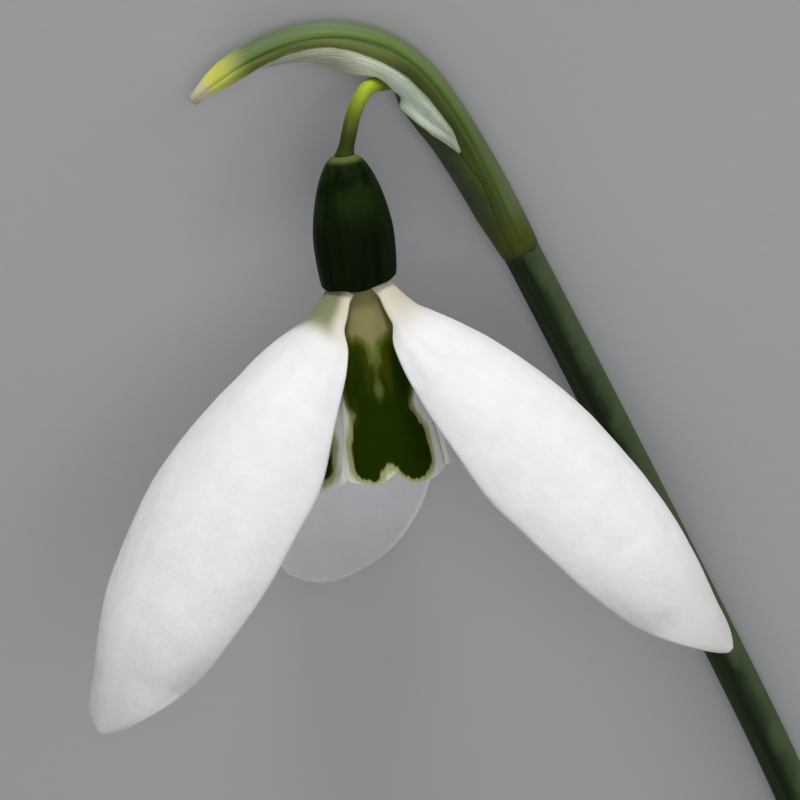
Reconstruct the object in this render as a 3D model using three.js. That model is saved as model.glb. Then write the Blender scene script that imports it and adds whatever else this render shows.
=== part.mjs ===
// A picked snowdrop, lying on a flat surface. Millimetres, +Z up, the surface is z = 0.
// The scape and the spathe lie along the surface. The pedicel rises from the open spathe to the
// ovary, and the flower head leans on the tip of its back petal, with its mouth turned up a little.
import * as THREE from 'three';

// ---------------------------------------------------------------- driving dimensions
const BLADE = 0.6;              // thickness of petals and bracts
const SEAT = 0.12;              // gap between pieces that grow from one another
const MIDDLE = [8.8, -23.5];    // middle of the plant's outline in the layout used below

// flower head: the flat lower rim of the ovary, and how the flower's own axis lies
const HEAD_AT = [-2.56, 6.04, 11.06];
const HEAD_RISE = 17.8;         // degrees by which the mouth points up from the surface
const HEAD_YAW = 6.8;           // degrees by which the mouth turns away from -Y
const OVARY_LENGTH = 8.3;
const OVARY_RADIUS = 2.56;
const RIM_RADIUS = 2.34;

// petals: `claw` is the distance from the flower's axis at which a petal starts and `seat` its distance
// from the ovary's rim; `lean`, `spread` and `close` are its slopes from that axis at the claw, the
// shoulder and the tip; `wrap` is how far its cross-section bends to each side; shares are of its length;
// `fuller` widens the margin on `fullSide` at some places, as [share, reach as a share, millimetres]
const OUTER = {
  claw: 2.12, seat: 0.32, lean: 40, shoulder: 0.097, clawEnd: 0.06, clawWrap: 43,
  fullWrapAt: 0.22, half: 8.4, widest: 0.55, wrap: 77, rise: 0.55, taper: 2.2, blunt: 0.62,
  tipHalf: 0.16, tipFrom: 0.88, tipFlat: 0.6, rows: 28, columns: 12,
};
const OUTER_PETALS = {
  outer_tepal_left: {
    azimuth: -52.6, length: 31.8, spread: 67.6, close: 11, ease: 0.93, twist: -5.5, sway: -1.5,
    clawHalf: 1.5, clawEndHalf: 2.3, fullSide: 1, fuller: [[0.36, 0.12, 0.8], [0.58, 0.16, 0.45]],
  },
  outer_tepal_right: {
    azimuth: 66.4, length: 31.8, spread: 66.4, close: 13.4, ease: 0.82, twist: -3.6, sway: 2.8,
    clawHalf: 1.1, clawEndHalf: 2.05, fullSide: -1, fuller: [[0.46, 0.12, 0.35]],
  },
  outer_tepal_back: {
    azimuth: 198.1, length: 30.4, spread: 54.1, close: 5.1, ease: 1.43, twist: 0.9, sway: -0.4,
    clawHalf: 1.5, clawEndHalf: 1.7, fullSide: 1, fuller: [],
  },
};

// inner petals: the bell; the mouth edge of each is rounded at the margins and notched in its middle,
// and `droop` is how much longer one of them is on one side
const INNER = {
  claw: 1.4, seat: SEAT, lean: 8, shoulder: 0.15, spread: 20, close: 5, ease: 1, clawWrap: 46,
  fullWrapAt: 0.35, flat: 1.1, roundness: 1.3, droop: 0, droopHalf: 0.5, notch: 0.55, notchHalf: 0.16,
  rows: 16, columns: 10,
};
const INNER_PETALS = {
  inner_tepal_front: { azimuth: 17, wrap: 43.5, length: 12.1, roundness: 0.6, droop: 0.4 },
  inner_tepal_left: { azimuth: -102, wrap: 62, length: 12.9 },
  inner_tepal_right: { azimuth: 124, wrap: 51, length: 12.2, spread: 24 },
};

// stamens and style, hidden in the bell
const STAMENS = 6;
const STAMEN_CIRCLE = 0.74;
const ANTHER_CIRCLE = 1.02;
const FILAMENT = { radius: 0.2, length: 1.7 };
const ANTHER = { radius: 0.41, length: 5.6, tip: 0.05 };
const STYLE = { radius: 0.22, tip: 0.154, length: 9.2 };

// scape and spathe: one line on the surface that starts at the node, in arcs of [length, turn in degrees]
const NODE_AT = [7.68, 3.26];
const NODE_HEADING = 113;
const NODE_HEIGHT = 1.65;       // of the middle of the stalk at the node
const SCAPE_KINK = 2;           // degrees by which the scape turns at the node
const ARCH = [[9, 6.2], [4, 6.8], [5, 33.9], [5, 33.5], [6.9, 36]];
const SCAPE_ARCS = [[40, -1.2], [35, -9]];
const SCAPE_RADIUS = 1.25;      // at the node
const SCAPE_CUT_RADIUS = 1.4;   // at the cut end
const TOUCH_AT = 17;            // where the spathe touches the surface, measured from the node
const BEAK_RISE = 2.2;          // by which its tip lifts off the surface again
// [distance from the node, value]; a margin is in degrees round the middle line, 0 out of the arch, 90 up
const SPATHE_RADIUS = [
  [0, 1.3], [9, 1.34], [13, 1.5], [17.5, 1.58], [21, 1.25], [24, 1.05], [27, 0.92], [29, 0.62],
  [29.9, 0.42],
];
const KEEL_AT = 168;            // the lower bract bulges out into a keel
const KEEL_RISE = [[0, 0.05], [3, 0.4], [11, 0.6], [13, 0.5], [15.5, 0]];
const OUTER_MARGIN = [[0, 102], [4, 98], [8.4, 76], [20, 76], [23, 98], [26, 140], [29.9, 150]];
const INNER_MARGIN = [
  [0, 110], [4, 106], [8, 100], [9, 108], [11.2, 142], [13.4, 158], [14.4, 204], [16, 240], [18, 268],
  [22, 266], [25, 226], [29.9, 214],
];
const MEMBRANE_EDGE = [
  [8.6, 94], [11.2, 132], [13.4, 148], [14.6, 128], [16.2, 126], [18, 134], [20.5, 146], [23.5, 146],
  [24.7, 134],
];
const MEMBRANE_FLARE = [[8.6, 0], [16.6, 0], [18.6, 0.4], [20.5, 0.3], [22, 0.12], [24.7, 0]];

// pedicel: from the node inside the spathe, out through its opening and over to the ovary
const PEDICEL_RADIUS = 0.5;
const PEDICEL_HIDDEN_RADIUS = 0.4;
const PEDICEL_LEAVES = 13.5;    // distance from the node up to which it runs in the middle of the spathe
const PEDICEL_WIDENS = 0.1;     // share of its length over which it gains its full radius from there
const PEDICEL_FREE = [
  [-0.3, 15.35, 1.75], [-1.32, 15.4, 2.05], [-2.0, 15.65, 3.0], [-2.5, 15.72, 4.6], [-2.9, 15.55, 6.4],
  [-3.16, 15.0, 7.75],
];

// ---------------------------------------------------------------- small helpers
const radians = THREE.MathUtils.degToRad;
const smooth = (x) => THREE.MathUtils.smoothstep(x, 0, 1);
const clamp01 = (x) => THREE.MathUtils.clamp(x, 0, 1);

// value at a place, from [place, value] pairs, on straight lines between them
function along(pairs, at) {
  const next = pairs.findIndex(([place]) => place > at);
  if (next === 0) return pairs[0][1];
  if (next < 0) return pairs[pairs.length - 1][1];
  const [[place0, value0], [place1, value1]] = [pairs[next - 1], pairs[next]];
  return value0 + (value1 - value0) * (at - place0) / (place1 - place0);
}

// rows crowd together at both ends
const cosineStep = (i, count) => 0.5 - 0.5 * Math.cos(Math.PI * i / count);

function namedMesh(name, geometry, color, roughness) {
  geometry.computeVertexNormals();
  const mesh = new THREE.Mesh(geometry, new THREE.MeshStandardMaterial({ color, roughness, metalness: 0 }));
  mesh.name = name;
  return mesh;
}

// closed body from points and triangles, turned right side out
function closedBody(points, triangles) {
  let volume = 0;
  for (const [a, b, c] of triangles) {
    volume += points[a].dot(new THREE.Vector3().crossVectors(points[b], points[c]));
  }
  const index = triangles.flatMap(([a, b, c]) => (volume > 0 ? [a, b, c] : [a, c, b]));
  const geometry = new THREE.BufferGeometry().setFromPoints(points);
  return geometry.setIndex(index);
}

// body between two grids of the same size, joined along their four edges
function bodyBetween(outside, inside) {
  const rows = outside.length - 1;
  const columns = outside[0].length - 1;
  const points = [...outside.flat(), ...inside.flat()];
  const out = (i, j) => i * (columns + 1) + j;
  const inn = (i, j) => (rows + 1) * (columns + 1) + out(i, j);
  const triangles = [];
  const quad = (a, b, c, d) => triangles.push([a, b, c], [a, c, d]);
  for (let i = 0; i < rows; i++) {
    for (let j = 0; j < columns; j++) {
      quad(out(i, j), out(i, j + 1), out(i + 1, j + 1), out(i + 1, j));
      quad(inn(i, j), inn(i + 1, j), inn(i + 1, j + 1), inn(i, j + 1));
    }
    quad(out(i, 0), out(i + 1, 0), inn(i + 1, 0), inn(i, 0));
    quad(out(i, columns), inn(i, columns), inn(i + 1, columns), out(i + 1, columns));
  }
  for (let j = 0; j < columns; j++) {
    quad(out(0, j), inn(0, j), inn(0, j + 1), out(0, j + 1));
    quad(out(rows, j), out(rows, j + 1), inn(rows, j + 1), inn(rows, j));
  }
  return closedBody(points, triangles);
}

// blade of even thickness round a grid of points
function bladeRound(grid, thickness) {
  const rows = grid.length - 1;
  const columns = grid[0].length - 1;
  const normalAt = (i, j) => {
    const down = grid[Math.min(i + 1, rows)][j].clone().sub(grid[Math.max(i - 1, 0)][j]);
    const across = grid[i][Math.min(j + 1, columns)].clone().sub(grid[i][Math.max(j - 1, 0)]);
    return across.cross(down).normalize();
  };
  const shifted = (side) => grid.map((row, i) => row.map((point, j) => (
    point.clone().addScaledVector(normalAt(i, j), side * thickness / 2)
  )));
  return bodyBetween(shifted(1), shifted(-1));
}

// round stalk along points, with flat ends
function stalkAlong(points, radiusAt, sides) {
  const curve = new THREE.CatmullRomCurve3(points);
  const last = points.length - 1;
  const body = [];
  let side = new THREE.Vector3(1, 0, 0);  // no stalk starts along X
  points.forEach((point, i) => {
    const tangent = curve.getTangent(i / last);
    side = side.addScaledVector(tangent, -side.dot(tangent)).normalize();
    const other = new THREE.Vector3().crossVectors(tangent, side);
    for (let k = 0; k < sides; k++) {
      const turn = 2 * Math.PI * k / sides;
      body.push(point.clone()
        .addScaledVector(side, radiusAt(i / last) * Math.cos(turn))
        .addScaledVector(other, radiusAt(i / last) * Math.sin(turn)));
    }
  });
  const triangles = [];
  for (let i = 0; i < last; i++) {
    for (let k = 0; k < sides; k++) {
      const [a, b] = [i * sides + k, i * sides + (k + 1) % sides];
      triangles.push([a, b, b + sides], [a, b + sides, a + sides]);
    }
  }
  const [start, end] = [body.length, body.length + 1];
  body.push(points[0].clone(), points[last].clone());
  for (let k = 0; k < sides; k++) {
    const next = (k + 1) % sides;
    triangles.push([start, next, k], [end, last * sides + k, last * sides + next]);
  }
  return closedBody(body, triangles);
}

// ---------------------------------------------------------------- flower head, in its own frame:
// +Z runs from the ovary's rim to the mouth, +Y faces up once the head is laid down,
// and azimuths turn from +Y towards +X
function onHead(radial, sideways, axial, azimuth) {
  const [sin, cos] = [Math.sin(azimuth), Math.cos(azimuth)];
  return new THREE.Vector3(radial * sin + sideways * cos, radial * cos - sideways * sin, axial);
}

// middle line of a petal: it leaves the claw at `lean`, opens to `spread` at the shoulder and
// closes to `close` at the tip, all in degrees from the flower's axis
function petalSpine(form, steps) {
  const spine = [{ radial: form.claw, axial: form.seat, slope: radians(form.lean) }];
  const fine = 12;
  for (let i = 0; i < steps; i++) {
    const [t0, t1] = [cosineStep(i, steps), cosineStep(i + 1, steps)];
    let { radial, axial } = spine[i];
    let slope = 0;
    for (let k = 0; k < fine; k++) {
      slope = radians(petalSlope(form, t0 + (t1 - t0) * (k + 0.5) / fine));
      radial += Math.sin(slope) * form.length * (t1 - t0) / fine;
      axial += Math.cos(slope) * form.length * (t1 - t0) / fine;
    }
    spine.push({ radial, axial, slope: radians(petalSlope(form, t1)) });
  }
  return spine;
}

function petalSlope(form, t) {
  if (t < form.shoulder) return form.lean + (form.spread - form.lean) * smooth(t / form.shoulder);
  return form.spread + (form.close - form.spread) * ((t - form.shoulder) / (1 - form.shoulder)) ** form.ease;
}

// half the width of an outer petal, measured round its curved face
function outerHalfWidth(form, t) {
  if (t < form.clawEnd) return form.clawHalf + (form.clawEndHalf - form.clawHalf) * t / form.clawEnd;
  if (t < form.widest) {
    const rise = Math.sin(0.5 * Math.PI * (t - form.clawEnd) / (form.widest - form.clawEnd)) ** form.rise;
    return form.clawEndHalf + (form.half - form.clawEndHalf) * rise;
  }
  const beyond = (t - form.widest) / (1 - form.widest);
  return Math.max(form.half * (1 - beyond ** form.taper) ** form.blunt, form.tipHalf);
}

function outerPetal(own) {
  const form = { ...OUTER, ...own };
  const spine = petalSpine(form, form.rows);
  const grid = spine.map(({ radial, axial, slope }, i) => {
    const t = cosineStep(i, form.rows);
    const flattened = form.tipFlat * smooth((t - form.tipFrom) / (1 - form.tipFrom));
    const bent = form.clawWrap + (form.wrap - form.clawWrap) * smooth(t / form.fullWrapAt);
    const wrap = radians(bent) * (1 - flattened);
    const half = outerHalfWidth(form, t);
    const arc = half / wrap;
    const twist = radians(form.twist) * smooth(t);
    return Array.from({ length: form.columns + 1 }, (_, j) => {
      const place = 2 * j / form.columns - 1;
      const swell = (sum, [share, reach, amount]) => sum + amount * Math.exp(-(((t - share) / reach) ** 2));
      const wider = Math.max(place * form.fullSide, 0) ** 3 * form.fuller.reduce(swell, 0);
      const turn = wrap * place * (1 + wider / half);
      const [across, inward] = [arc * Math.sin(turn), arc * (1 - Math.cos(turn))];
      const sideways = across * Math.cos(twist) + inward * Math.sin(twist) + form.sway * t ** 1.5;
      const depth = inward * Math.cos(twist) - across * Math.sin(twist);
      const reach = radial - depth * Math.cos(slope);
      return onHead(reach, sideways, axial + depth * Math.sin(slope), radians(form.azimuth));
    });
  });
  return bladeRound(grid, BLADE);
}

function innerPetal(own) {
  const form = { ...INNER, ...own };
  const spine = petalSpine(form, form.rows);
  const grid = spine.map(({ radial, axial, slope }, i) => {
    const t = cosineStep(i, form.rows);
    const wrap = radians(form.clawWrap + (form.wrap - form.clawWrap) * smooth(t / form.fullWrapAt));
    const arc = radial * form.flat;
    return Array.from({ length: form.columns + 1 }, (_, j) => {
      const place = 2 * j / form.columns - 1;
      const inward = arc * (1 - Math.cos(wrap * place));
      const notch = form.notch * Math.exp(-((place / form.notchHalf) ** 2));
      const droop = form.droop * smooth(place / form.droopHalf);
      const shorter = t ** 6 * (form.roundness * place ** 4 + notch - droop);
      return onHead(radial - inward * Math.cos(slope), arc * Math.sin(wrap * place),
        axial + inward * Math.sin(slope) - shorter, radians(form.azimuth));
    });
  });
  return bladeRound(grid, BLADE);
}

function ovary() {
  // [distance above the rim as a share of the length, radius]
  const outline = [
    [0, 0], [0, RIM_RADIUS], [0.08, 2.42], [0.2, 2.52], [0.37, OVARY_RADIUS], [0.5, 2.43],
    [0.68, 2.13], [0.83, 1.68], [0.91, 1.36], [0.97, 1.02], [1, 0.7], [1, 0],
  ];
  const profile = outline.map(([share, radius]) => new THREE.Vector2(radius, share * OVARY_LENGTH));
  const geometry = new THREE.LatheGeometry(profile, 24);
  return geometry.rotateX(-Math.PI / 2);
}

function stamen(azimuth) {
  const points = [];
  const radii = [];
  const steps = 9;
  const whole = FILAMENT.length + ANTHER.length;
  for (let i = 0; i <= steps; i++) {
    const z = SEAT + whole * i / steps;
    const share = clamp01((z - FILAMENT.length) / ANTHER.length);
    // the stamens bulge a little round the style and their tips come together again
    const circle = STAMEN_CIRCLE + (ANTHER_CIRCLE - STAMEN_CIRCLE) * Math.sin(Math.PI * i / steps);
    points.push(onHead(circle, 0, z, azimuth));
    radii.push(share > 0 ? ANTHER.radius + (ANTHER.tip - ANTHER.radius) * share ** 3 : FILAMENT.radius);
  }
  return stalkAlong(points, (at) => radii[Math.round(at * steps)], 8);
}

function style() {
  const points = [0, 0.5, 1].map((share) => new THREE.Vector3(0, 0, SEAT + STYLE.length * share));
  return stalkAlong(points, (at) => STYLE.radius + (STYLE.tip - STYLE.radius) * at, 8);
}

// ---------------------------------------------------------------- stalk line on the surface
function walkArcs(start, heading, arcs, distance) {
  let [x, y] = start;
  let angle = radians(heading);
  let left = distance;
  for (const [length, turn] of arcs) {
    const step = Math.min(left, length);
    const bend = radians(turn) / length;
    x += (Math.sin(angle + bend * step) - Math.sin(angle)) / bend;
    y -= (Math.cos(angle + bend * step) - Math.cos(angle)) / bend;
    angle += bend * step;
    left -= step;
    if (left <= 0) break;
  }
  return { x, y, angle };
}

const archAt = (distance) => walkArcs(NODE_AT, NODE_HEADING, ARCH, distance);
const scapeAt = (distance) => walkArcs(NODE_AT, NODE_HEADING - 180 + SCAPE_KINK, SCAPE_ARCS, distance);
const total = (arcs) => arcs.reduce((sum, [length]) => sum + length, 0);

// height of the spathe's middle: it touches the surface at TOUCH_AT and lifts towards both ends
function archHeight(distance) {
  const before = (NODE_HEIGHT - along(SPATHE_RADIUS, 0)) * clamp01(1 - distance / TOUCH_AT) ** 2;
  const after = BEAK_RISE * clamp01((distance - TOUCH_AT) / (total(ARCH) - TOUCH_AT)) ** 1.5;
  return along(SPATHE_RADIUS, distance) + before + after;
}

// a place round the arch
function onArch(distance, degrees, radius) {
  const { x, y, angle } = archAt(distance);
  const out = radius * Math.cos(radians(degrees));
  const up = radius * Math.sin(radians(degrees));
  return new THREE.Vector3(x + out * Math.sin(angle), y - out * Math.cos(angle), archHeight(distance) + up);
}

// distance of the bracts' outer face from the arch's middle line
function bractRadius(distance, degrees) {
  const keel = Math.max(Math.cos(radians(degrees - KEEL_AT)), 0) ** 2;
  return along(SPATHE_RADIUS, distance) + along(KEEL_RISE, distance) * keel;
}

function spathe() {
  const rows = 40;
  const columns = 14;
  const narrowest = 0.12;
  const gridAt = (depth) => Array.from({ length: rows + 1 }, (_, i) => {
    const distance = SEAT + (total(ARCH) - SEAT) * i / rows;
    const from = along(OUTER_MARGIN, distance);
    const to = along(INNER_MARGIN, distance) - 360;
    return Array.from({ length: columns + 1 }, (_, j) => {
      const degrees = from + (to - from) * j / columns;
      return onArch(distance, degrees, Math.max(bractRadius(distance, degrees) - depth, narrowest));
    });
  });
  return bodyBetween(gridAt(0), gridAt(BLADE));
}

// the membrane starts clear of the upper bract's margin and hangs out towards its free edge
function membrane() {
  const [first, last] = [MEMBRANE_EDGE[0][0], MEMBRANE_EDGE[MEMBRANE_EDGE.length - 1][0]];
  const rows = 18;
  const columns = 5;
  const clear = 8;
  const grid = Array.from({ length: rows + 1 }, (_, i) => {
    const distance = first + (last - first) * i / rows;
    const from = along(OUTER_MARGIN, distance) + clear;
    const to = along(MEMBRANE_EDGE, distance);
    return Array.from({ length: columns + 1 }, (_, j) => {
      const share = j / columns;
      const radius = along(SPATHE_RADIUS, distance) - BLADE / 2 + along(MEMBRANE_FLARE, distance) * share;
      return onArch(distance, from + (to - from) * share, radius);
    });
  });
  return bladeRound(grid, BLADE);
}

function scape() {
  const length = total(SCAPE_ARCS);
  const rows = 40;
  const radiusAt = (share) => SCAPE_RADIUS + (SCAPE_CUT_RADIUS - SCAPE_RADIUS) * share;
  const points = Array.from({ length: rows + 1 }, (_, i) => {
    const share = i / rows;
    const { x, y } = scapeAt(length * share);
    // the node is held up a little, and the cut end touches the surface
    const lift = (NODE_HEIGHT - SCAPE_RADIUS) * (1 - share ** 3);
    return new THREE.Vector3(x, y, radiusAt(share) + lift);
  });
  return stalkAlong(points, radiusAt, 16);
}

function pedicel() {
  const route = [SEAT, 4, 8, PEDICEL_LEAVES].map((distance) => onArch(distance, 0, 0));
  route.push(...PEDICEL_FREE.map(([x, y, z]) => new THREE.Vector3(x, y, z)));
  const top = new THREE.Vector3(0, 0, -OVARY_LENGTH - SEAT).applyMatrix4(headMatrix());
  route.push(top);
  const curve = new THREE.CatmullRomCurve3(route);
  const steps = 60;
  const hidden = PEDICEL_LEAVES / curve.getLength();
  const radiusAt = (share) => PEDICEL_HIDDEN_RADIUS
    + (PEDICEL_RADIUS - PEDICEL_HIDDEN_RADIUS) * smooth((share - hidden) / PEDICEL_WIDENS);
  return stalkAlong(curve.getSpacedPoints(steps), radiusAt, 10);
}

// ---------------------------------------------------------------- placing the head
function headRotation() {
  return new THREE.Euler(radians(90 - HEAD_RISE), 0, radians(HEAD_YAW), 'ZYX');
}

function headMatrix() {
  return new THREE.Matrix4().makeRotationFromEuler(headRotation()).setPosition(...HEAD_AT);
}

// ---------------------------------------------------------------- colours
const WHITE = 0xf2f1ec;
const INNER_WHITE = 0xe4e4d6;
const DARK_GREEN = 0x1b2910;
const STEM_GREEN = 0x3d4733;
const BRACT_GREEN = 0x5f7340;
const PAPER = 0x99a082;
const FRESH_GREEN = 0x8d9a38;
const ANTHER_YELLOW = 0xd99a2b;

const head = new THREE.Group();
head.position.set(...HEAD_AT);
head.rotation.copy(headRotation());
head.add(namedMesh('ovary', ovary(), DARK_GREEN, 0.45));
for (const [name, own] of Object.entries(OUTER_PETALS)) {
  head.add(namedMesh(name, outerPetal(own), WHITE, 0.7));
}
for (const [name, own] of Object.entries(INNER_PETALS)) {
  head.add(namedMesh(name, innerPetal(own), INNER_WHITE, 0.7));
}
for (let k = 0; k < STAMENS; k++) {
  head.add(namedMesh(`stamen_${k + 1}`, stamen(2 * Math.PI * (k + 0.5) / STAMENS), ANTHER_YELLOW, 0.6));
}
head.add(namedMesh('style', style(), INNER_WHITE, 0.6));

const snowdrop = new THREE.Group();
snowdrop.add(
  head,
  namedMesh('pedicel', pedicel(), FRESH_GREEN, 0.5),
  namedMesh('spathe', spathe(), BRACT_GREEN, 0.55),
  namedMesh('spathe_membrane', membrane(), PAPER, 0.7),
  namedMesh('scape', scape(), STEM_GREEN, 0.5),
);
snowdrop.position.set(-MIDDLE[0], -MIDDLE[1], 0);

export default snowdrop;
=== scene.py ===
from math import atan2, cos, exp, hypot, pi, radians, sin

import bpy
from mathutils import Euler, Matrix, Vector, noise


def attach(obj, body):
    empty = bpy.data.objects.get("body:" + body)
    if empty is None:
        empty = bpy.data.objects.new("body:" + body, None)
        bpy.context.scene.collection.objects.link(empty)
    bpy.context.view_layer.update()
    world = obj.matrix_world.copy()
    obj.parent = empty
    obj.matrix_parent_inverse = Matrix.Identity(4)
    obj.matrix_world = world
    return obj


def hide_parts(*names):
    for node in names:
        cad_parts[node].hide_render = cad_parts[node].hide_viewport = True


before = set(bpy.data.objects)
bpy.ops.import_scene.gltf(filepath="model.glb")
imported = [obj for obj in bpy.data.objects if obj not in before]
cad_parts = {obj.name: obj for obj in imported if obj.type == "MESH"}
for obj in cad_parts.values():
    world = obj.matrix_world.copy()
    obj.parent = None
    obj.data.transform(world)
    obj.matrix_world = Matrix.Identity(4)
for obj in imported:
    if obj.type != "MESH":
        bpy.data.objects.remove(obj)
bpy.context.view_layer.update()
bpy.ops.object.select_all(action="DESELECT")


# -------------------- board, daylight and camera
# The flower lies on a plain pale board. Soft light comes in low over its arch from two windows and
# down from a high one, and a wall across from them and an even sky fill the shadows. The camera
# looks down on the flower from the side of its arch. Places and sizes here are in metres.
BOARD_SIDE = 6.0
BOARD_GREY = (0.52, 0.52, 0.53, 1)
BOARD_FINISH = {"Roughness": 0.85}
BOARD_TOOTH = {"Scale": 900, "Detail": 4}
BOARD_RELIEF = (0.2, 0.0001)  # the strength of the fine relief, and its depth in metres
WINDOW_LIGHT = (1.0, 0.99, 0.975)
WALL_LIGHT = (0.97, 0.98, 1.0)
# lights, as (azimuth, height, distance, size, power, colour), with both angles in degrees
LIGHTS = {
    "window": (93, 5, 0.9, 0.3, 5.9, WINDOW_LIGHT),
    "side_window": (42, 9, 0.9, 0.3, 1.1, WINDOW_LIGHT),
    "near_wall": (250, 28, 1.0, 0.6, 0.4, WALL_LIGHT),
    "high_window": (75, 66, 1.0, 0.5, 2.0, WINDOW_LIGHT),
}
LOOK_AT = Vector((-0.0088, 0.0235, 0.01506))
LOOK_DOWN = radians(58)
CAMERA_DISTANCE = 0.3
FIELD_WIDTH = 0.05
SENSOR_WIDTH = 36
SKY_COLOUR = (0.93, 0.96, 1.0, 1)
SKY_STRENGTH = 0.31


def feed(tree, socket, value):
    if isinstance(value, bpy.types.NodeSocket):
        tree.links.new(value, socket)
    else:
        socket.default_value = value


def add_node(tree, kind, sockets=None, **settings):
    """A shader node, with each socket given a value or the output that feeds it."""
    made = tree.nodes.new(kind)
    for name, value in settings.items():
        setattr(made, name, value)
    for name, value in (sockets or {}).items():
        feed(tree, made.inputs[name], value)
    return made


def new_material(name):
    """An empty material and its node tree."""
    material = bpy.data.materials.new(name)
    material.use_nodes = True
    return material, material.node_tree


def finish_material(material, colour, height, relief, finish):
    """Gives a material's shader its colour, its fine relief and the values of its other sockets."""
    tree = material.node_tree
    strength, depth = relief
    bump = add_node(tree, "ShaderNodeBump", {"Height": height, "Strength": strength, "Distance": depth})
    shader = tree.nodes["Principled BSDF"].inputs
    for name, value in {"Base Color": colour, "Normal": bump.outputs["Normal"], **finish}.items():
        feed(tree, shader[name], value)
    return material


def soft_light(name, azimuth, height, distance, size, power, colour):
    """A square soft light that faces the flower."""
    away = Euler((0, radians(90 - height), radians(azimuth))).to_matrix() @ Vector((0, 0, 1))
    bpy.ops.object.light_add(type="AREA", location=LOOK_AT + away * distance)
    light = bpy.context.active_object
    light.name = name
    light.rotation_euler = away.to_track_quat("Z", "Y").to_euler()
    light.data.size = size
    light.data.energy = power
    light.data.color = colour


bpy.ops.mesh.primitive_plane_add(size=BOARD_SIDE)
board = bpy.context.active_object
board.name = "board"
board_paint, tree = new_material("painted_board")
place = add_node(tree, "ShaderNodeTexCoord").outputs["Object"]
tooth = add_node(tree, "ShaderNodeTexNoise", {"Vector": place, **BOARD_TOOTH})
finish_material(board_paint, BOARD_GREY, tooth.outputs["Fac"], BOARD_RELIEF, BOARD_FINISH)
board.data.materials.append(board_paint)

for name, placed in LIGHTS.items():
    soft_light(name, *placed)

sky = bpy.data.worlds.new("sky")
sky.use_nodes = True
glow = sky.node_tree.nodes["Background"].inputs
glow["Color"].default_value = SKY_COLOUR
glow["Strength"].default_value = SKY_STRENGTH
bpy.context.scene.world = sky

bpy.ops.object.camera_add(
    location=LOOK_AT + CAMERA_DISTANCE * Vector((0, cos(LOOK_DOWN), sin(LOOK_DOWN))),
    rotation=(LOOK_DOWN - pi / 2, 0, 0),
)
camera = bpy.context.active_object
camera.name = "camera"
camera.data.sensor_width = SENSOR_WIDTH
camera.data.lens = SENSOR_WIDTH * CAMERA_DISTANCE / FIELD_WIDTH
bpy.context.scene.camera = camera
bpy.context.scene.view_settings.view_transform = "Standard"


# -------------------- ovary
# The green seed case above the petals: a firm fleshy body, widest in its middle, with a flat
# pale shoulder where its stalk comes in, which also carries a painted highlight, and a faintly
# scalloped rim that carries the petals.
# The flower head has a frame of its own, in millimetres: +Z runs from the rim of the ovary to
# the mouth of the flower, and +Y faces up once the head lies on the board.
MM = 0.001
MIDDLE = Vector((8.8, -23.5, 0))  # of the whole lying flower, and the origin of the shared frame
HEAD_AT = Vector((-2.56, 6.04, 11.06))
HEAD_RISE = 17.8
HEAD_YAW = 6.8
HEAD = (
    Matrix.Scale(MM, 4)
    @ Matrix.Translation(HEAD_AT - MIDDLE)
    @ Euler((radians(90 - HEAD_RISE), 0, radians(HEAD_YAW))).to_matrix().to_4x4()
)
OVARY_LENGTH = 8.3
OVARY_SIDES = 72
# rings of the ovary: (share of the length above the rim, radius)
OVARY_RINGS = (
    (0.015, 2.37), (0.05, 2.41), (0.1, 2.46), (0.2, 2.53), (0.3, 2.56), (0.4, 2.55), (0.5, 2.45),
    (0.6, 2.31), (0.7, 2.1), (0.79, 1.85), (0.86, 1.6), (0.915, 1.36), (0.95, 1.17), (0.975, 0.98),
    (0.99, 0.78), (0.997, 0.6),
)
RIM_RADIUS = 2.33
SHOULDER_INSET = 0.25
RIM_INSETS = (0.1, 0.6)
# the body is uneven and faintly lobed: (share of the radius, lobes, turn of the first one)
OVARY_UNEVEN = 0.012
OVARY_LOBES = ((0.012, 3, 0.6), (0.004, 18, 0))
# the rim is scalloped as far as it is bent, and rises over the claw of the right petal, at a turn
# round the ovary and over a reach in radians
RIM_BENT = 0.5
RIM_INNER_RADIUS = 1.3
RIM_SCALLOP = 0.06
CLAW_RISE = 0.32
CLAW_RISE_AT = (1.3, 0.6)
OVARY_DARK = (0.0022, 0.0050, 0.0005, 1)
OVARY_GREEN = (0.013, 0.031, 0.0040, 1)
# the pale shoulder, whose colour is also a painted highlight
OVARY_SHOULDER_HIGHLIGHT = (0.13, 0.17, 0.055, 1)
# where a colour starts and is full, as shares of the length above the rim
OVARY_GREENS_AT = (0.35, 0.9)
OVARY_HIGHLIGHT_AT = (0.94, 0.985)
OVARY_ROUGHNESS = (0.34, 0.52)
OVARY_RELIEF = (0.35, 0.00006)
# plant skin: where the noise under its patches, streaks and ridges starts to show and is full
PATCH_EDGE = (0.35, 0.65)
STREAK_EDGE = (0.3, 0.7)
RIDGE_EDGE = (0.09, 0.0)


def soft_step(x):
    x = min(max(x, 0), 1)
    return x * x * (3 - 2 * x)


def soft_hump(value, middle, reach):
    """Rises to 1 at the middle and fades out beyond its reach."""
    return exp(-(((value - middle) / reach) ** 2))


def write_attributes(piece, **attributes):
    """Named values, or vectors, at each vertex of a piece."""
    for name, values in attributes.items():
        vectors = isinstance(values[0], Vector)
        layer = piece.data.attributes.new(name, "FLOAT_VECTOR" if vectors else "FLOAT", "POINT")
        flat = [part for value in values for part in value] if vectors else values
        layer.data.foreach_set("vector" if vectors else "value", flat)


def apply_modifiers(piece):
    for modifier in list(piece.modifiers):
        bpy.ops.object.modifier_apply(modifier=modifier.name)


def only_select(piece):
    bpy.ops.object.select_all(action="DESELECT")
    piece.select_set(True)
    bpy.context.view_layer.objects.active = piece


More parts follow.
